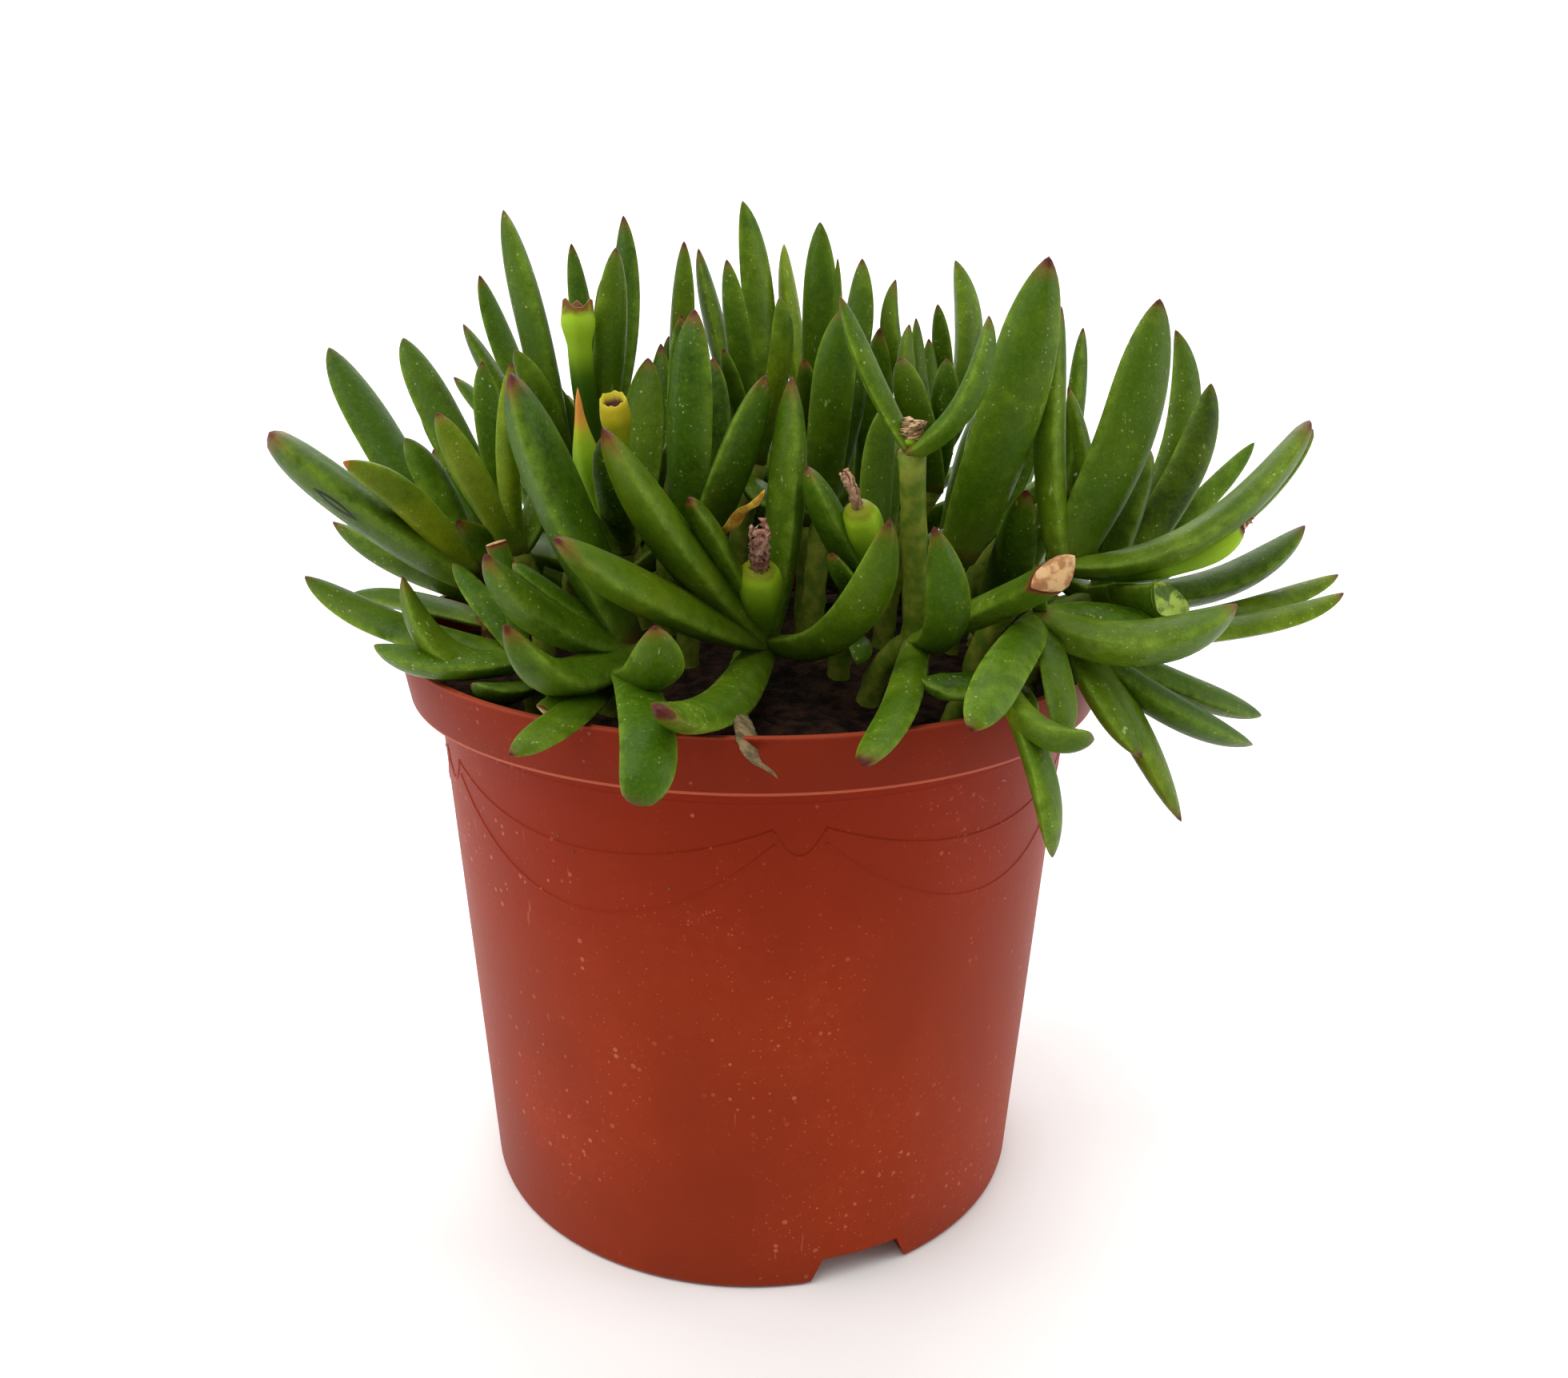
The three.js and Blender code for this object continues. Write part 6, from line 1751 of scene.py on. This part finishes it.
def build_stage(look):
    """A pale floor that curves up behind, soft studio lights, and a camera at the eye."""
    scene = bpy.context.scene
    mesh = bpy.data.meshes.new("floor")
    profile = [(FLOOR_FRONT, 0.0), (FLOOR_CURVE, 0.0)]
    for a in np.linspace(0.1, math.pi / 2, 12):
        profile.append((FLOOR_CURVE + CURVE_RADIUS * math.sin(a), CURVE_RADIUS * (1 - math.cos(a))))
    profile.append((FLOOR_CURVE + CURVE_RADIUS, FLOOR_TOP))
    points = [(x, y, z) for y, z in profile for x in (-FLOOR_HALF_WIDTH, FLOOR_HALF_WIDTH)]
    faces = [(2 * k, 2 * k + 1, 2 * k + 3, 2 * k + 2) for k in range(len(profile) - 1)]
    mesh.from_pydata(points, [], faces)
    floor = linked("floor", mesh)
    smoothed(mesh)
    paint = Paint("Pale floor")
    tint = paint.mix(paint.noise(3.0), (0.86, 0.86, 0.86, 1), (0.9, 0.9, 0.9, 1))
    mesh.materials.append(paint.finish(tint, 0.9, paint.bump(paint.noise(60.0), 0.02, 0.001)))

    world = bpy.data.worlds.new("Studio")
    world.use_nodes = True
    world.node_tree.nodes["Background"].inputs["Color"].default_value = (1.0, 0.99, 0.97, 1)
    world.node_tree.nodes["Background"].inputs["Strength"].default_value = look.sky
    scene.world = world
    for name, place, aim, size, power, colour in LIGHTS:
        area_light(name, place, aim, size, getattr(look, power), colour)

    camera = bpy.data.cameras.new("Camera")
    camera.sensor_width = 36
    camera.lens = 36 * FOCAL / PICTURE_WIDTH
    camera.clip_start = 0.01
    viewer = linked("Camera", camera)
    place = Matrix.Identity(4)
    for column, axis in enumerate((PICTURE_RIGHT, PICTURE_UP, -AHEAD, EYE * MM)):
        for row in range(3):
            place[row][column] = axis[row]
    viewer.matrix_world = place
    scene.camera = viewer
    scene.view_settings.view_transform = "Standard"

class PotLook(bpy.types.PropertyGroup):
    """The pot's plastic and the ornament moulded on its wall."""

    colour: FloatVectorProperty(
        name="Plastic", description="Colour of the pot's plastic", subtype="COLOR", size=3,
        min=0, max=1, default=(0.285, 0.028, 0.0042),
    )
    marks: FloatProperty(
        name="Marks", description="How plainly the pale specks and scratches show",
        default=0.45, min=0, max=1, subtype="FACTOR",
    )
    line_radius: FloatProperty(
        name="Line radius", description="Radius of the raised lines of the swags",
        default=0.48 * MM, min=0.1 * MM, max=1.5 * MM, subtype="DISTANCE", unit="LENGTH",
    )

class SoilLook(bpy.types.PropertyGroup):
    """The crumbs and fibres strewn on the peat."""

    crumb_size: FloatProperty(
        name="Crumb size", description="Radius of the larger crumbs", default=0.9 * MM,
        min=0.2 * MM, max=4 * MM, subtype="DISTANCE", unit="LENGTH",
    )
    crumb_density: FloatProperty(
        name="Crumb density", description="Crumbs for each square metre of soil",
        default=150000, min=0, max=400000,
    )
    fibre_density: FloatProperty(
        name="Fibre density", description="Pale fibres for each square metre of soil",
        default=12000, min=0, max=100000,
    )
    seed: IntProperty(name="Seed", description="Seed of the strewn crumbs", default=5, min=0)

class PlantLook(bpy.types.PropertyGroup):
    """The skin of the leaves."""

    dots: FloatProperty(
        name="Dots", description="How plainly the pale dots on the leaves show", default=0.4,
        min=0, max=1, subtype="FACTOR",
    )
    roughness: FloatProperty(
        name="Roughness", description="Least roughness of the waxy skin", default=0.3, min=0,
        max=1, subtype="FACTOR",
    )

class StageLook(bpy.types.PropertyGroup):
    """The floor and the studio lights."""

    key_power: FloatProperty(
        name="Key light", description="Power of the large light over the plant", default=8.0,
        min=0, unit="POWER",
    )
    fill_power: FloatProperty(
        name="Fill light", description="Power of the lights on each side and behind",
        default=3.2, min=0, unit="POWER",
    )
    backdrop_power: FloatProperty(
        name="Backdrop light",
        description="Power of the light on the floor's curve behind the plant", default=40.0,
        min=0, unit="POWER",
    )
    sky: FloatProperty(
        name="Sky", description="Strength of the pale surroundings", default=0.5, min=0, max=4,
    )

class SUCCULENT_OT_pot(bpy.types.Operator):
    """Build the nursery pot"""

    bl_idname = "succulent.pot"
    bl_label = "Build pot"

    def execute(self, context):
        build_pot(material_of("Terracotta plastic"))
        return {"FINISHED"}

class SUCCULENT_OT_ornament(bpy.types.Operator):
    """Raise the swags and rings on the pot's wall"""

    bl_idname = "succulent.ornament"
    bl_label = "Raise ornament"

    def execute(self, context):
        look = context.scene.pot_look
        tree = ring_tree()
        material = material_of("Terracotta plastic")
        raised_lines("swags", swag_lines(), False, SWAGS, look.line_radius, tree, material)
        rings = [ring_line(height) for height in RING_HEIGHTS]
        raised_lines("rings", rings, True, 1, 0.7 * look.line_radius, tree, material)
        return {"FINISHED"}

class SUCCULENT_OT_soil(bpy.types.Operator):
    """Build the peat with its crumbs and fibres"""

    bl_idname = "succulent.soil"
    bl_label = "Build soil"

    def execute(self, context):
        look = context.scene.soil_look
        soil = build_soil(material_of("Peat"))
        tree = scatter_tree()
        reach = (RIM_RADIUS - WALL - STREWN_INSET) * MM
        crumbs = {"Density": look.crumb_density, "Seed": look.seed,
                  "Size": look.crumb_size, "Reach": reach}
        strew("crumbs", soil, material_of("Peat"), tree, crumbs)
        fibres = {"Density": look.fibre_density, "Seed": look.seed + 1,
                  "Size": FIBRE_SIZE, "Reach": reach, "Stretch": FIBRE_STRETCH}
        strew("fibres", soil, material_of("Pale fibre"), tree, fibres)
        return {"FINISHED"}

class SUCCULENT_OT_stems(bpy.types.Operator):
    """Build every leafy stem with its leaves and capsules"""

    bl_idname = "succulent.stems"
    bl_label = "Build leafy stems"

    def execute(self, context):
        for shoot in grown_shoots():
            build_shoot(shoot, material_of("Waxy leaf"))
        return {"FINISHED"}

class SUCCULENT_OT_withered(bpy.types.Operator):
    """Build the dried flowers on the capsules and the withered leaves"""

    bl_idname = "succulent.withered"
    bl_label = "Build withered parts"

    def execute(self, context):
        leaves = [leaf for shoot in grown_shoots() for leaf in shoot.leaves]
        material = material_of("Withered tissue")
        for number, fruit in enumerate([leaf for leaf in leaves if leaf.bloom], 1):
            build_dried_flower(fruit, number, material)
        for number, leaf in enumerate([leaf for leaf in leaves if leaf.dry], 1):
            build_withered_leaf(leaf, number, material)
        return {"FINISHED"}

class SUCCULENT_OT_stage(bpy.types.Operator):
    """Set the floor, the studio lights and the camera"""

    bl_idname = "succulent.stage"
    bl_label = "Set stage"

    def execute(self, context):
        build_stage(context.scene.stage_look)
        return {"FINISHED"}

class SUCCULENT_PT_panel(bpy.types.Panel):
    """The sidebar panel of the plant"""

    bl_label = "Succulent"
    bl_idname = "SUCCULENT_PT_panel"
    bl_space_type = "VIEW_3D"
    bl_region_type = "UI"
    bl_category = "Succulent"

    def draw(self, context):
        scene = context.scene
        for group in (scene.pot_look, scene.soil_look, scene.plant_look, scene.stage_look):
            box = self.layout.box()
            for name in group.__annotations__:
                box.prop(group, name)
        for operator in OPERATORS:
            self.layout.operator(operator.bl_idname)

GROUPS = {
    "pot_look": PotLook,
    "soil_look": SoilLook,
    "plant_look": PlantLook,
    "stage_look": StageLook,
}
OPERATORS = (
    SUCCULENT_OT_pot,
    SUCCULENT_OT_ornament,
    SUCCULENT_OT_soil,
    SUCCULENT_OT_stems,
    SUCCULENT_OT_withered,
    SUCCULENT_OT_stage,
)

def register():
    for group in GROUPS.values():
        bpy.utils.register_class(group)
    for operator in OPERATORS:
        bpy.utils.register_class(operator)
    bpy.utils.register_class(SUCCULENT_PT_panel)
    for name, group in GROUPS.items():
        setattr(bpy.types.Scene, name, PointerProperty(type=group))

def unregister():
    for name in GROUPS:
        delattr(bpy.types.Scene, name)
    bpy.utils.unregister_class(SUCCULENT_PT_panel)
    for operator in reversed(OPERATORS):
        bpy.utils.unregister_class(operator)
    for group in reversed(GROUPS.values()):
        bpy.utils.unregister_class(group)

def main():
    register()
    bpy.ops.succulent.pot()
    bpy.ops.succulent.ornament()
    bpy.ops.succulent.soil()
    bpy.ops.succulent.stems()
    bpy.ops.succulent.withered()
    bpy.ops.succulent.stage()

if __name__ == "__main__":
    main()
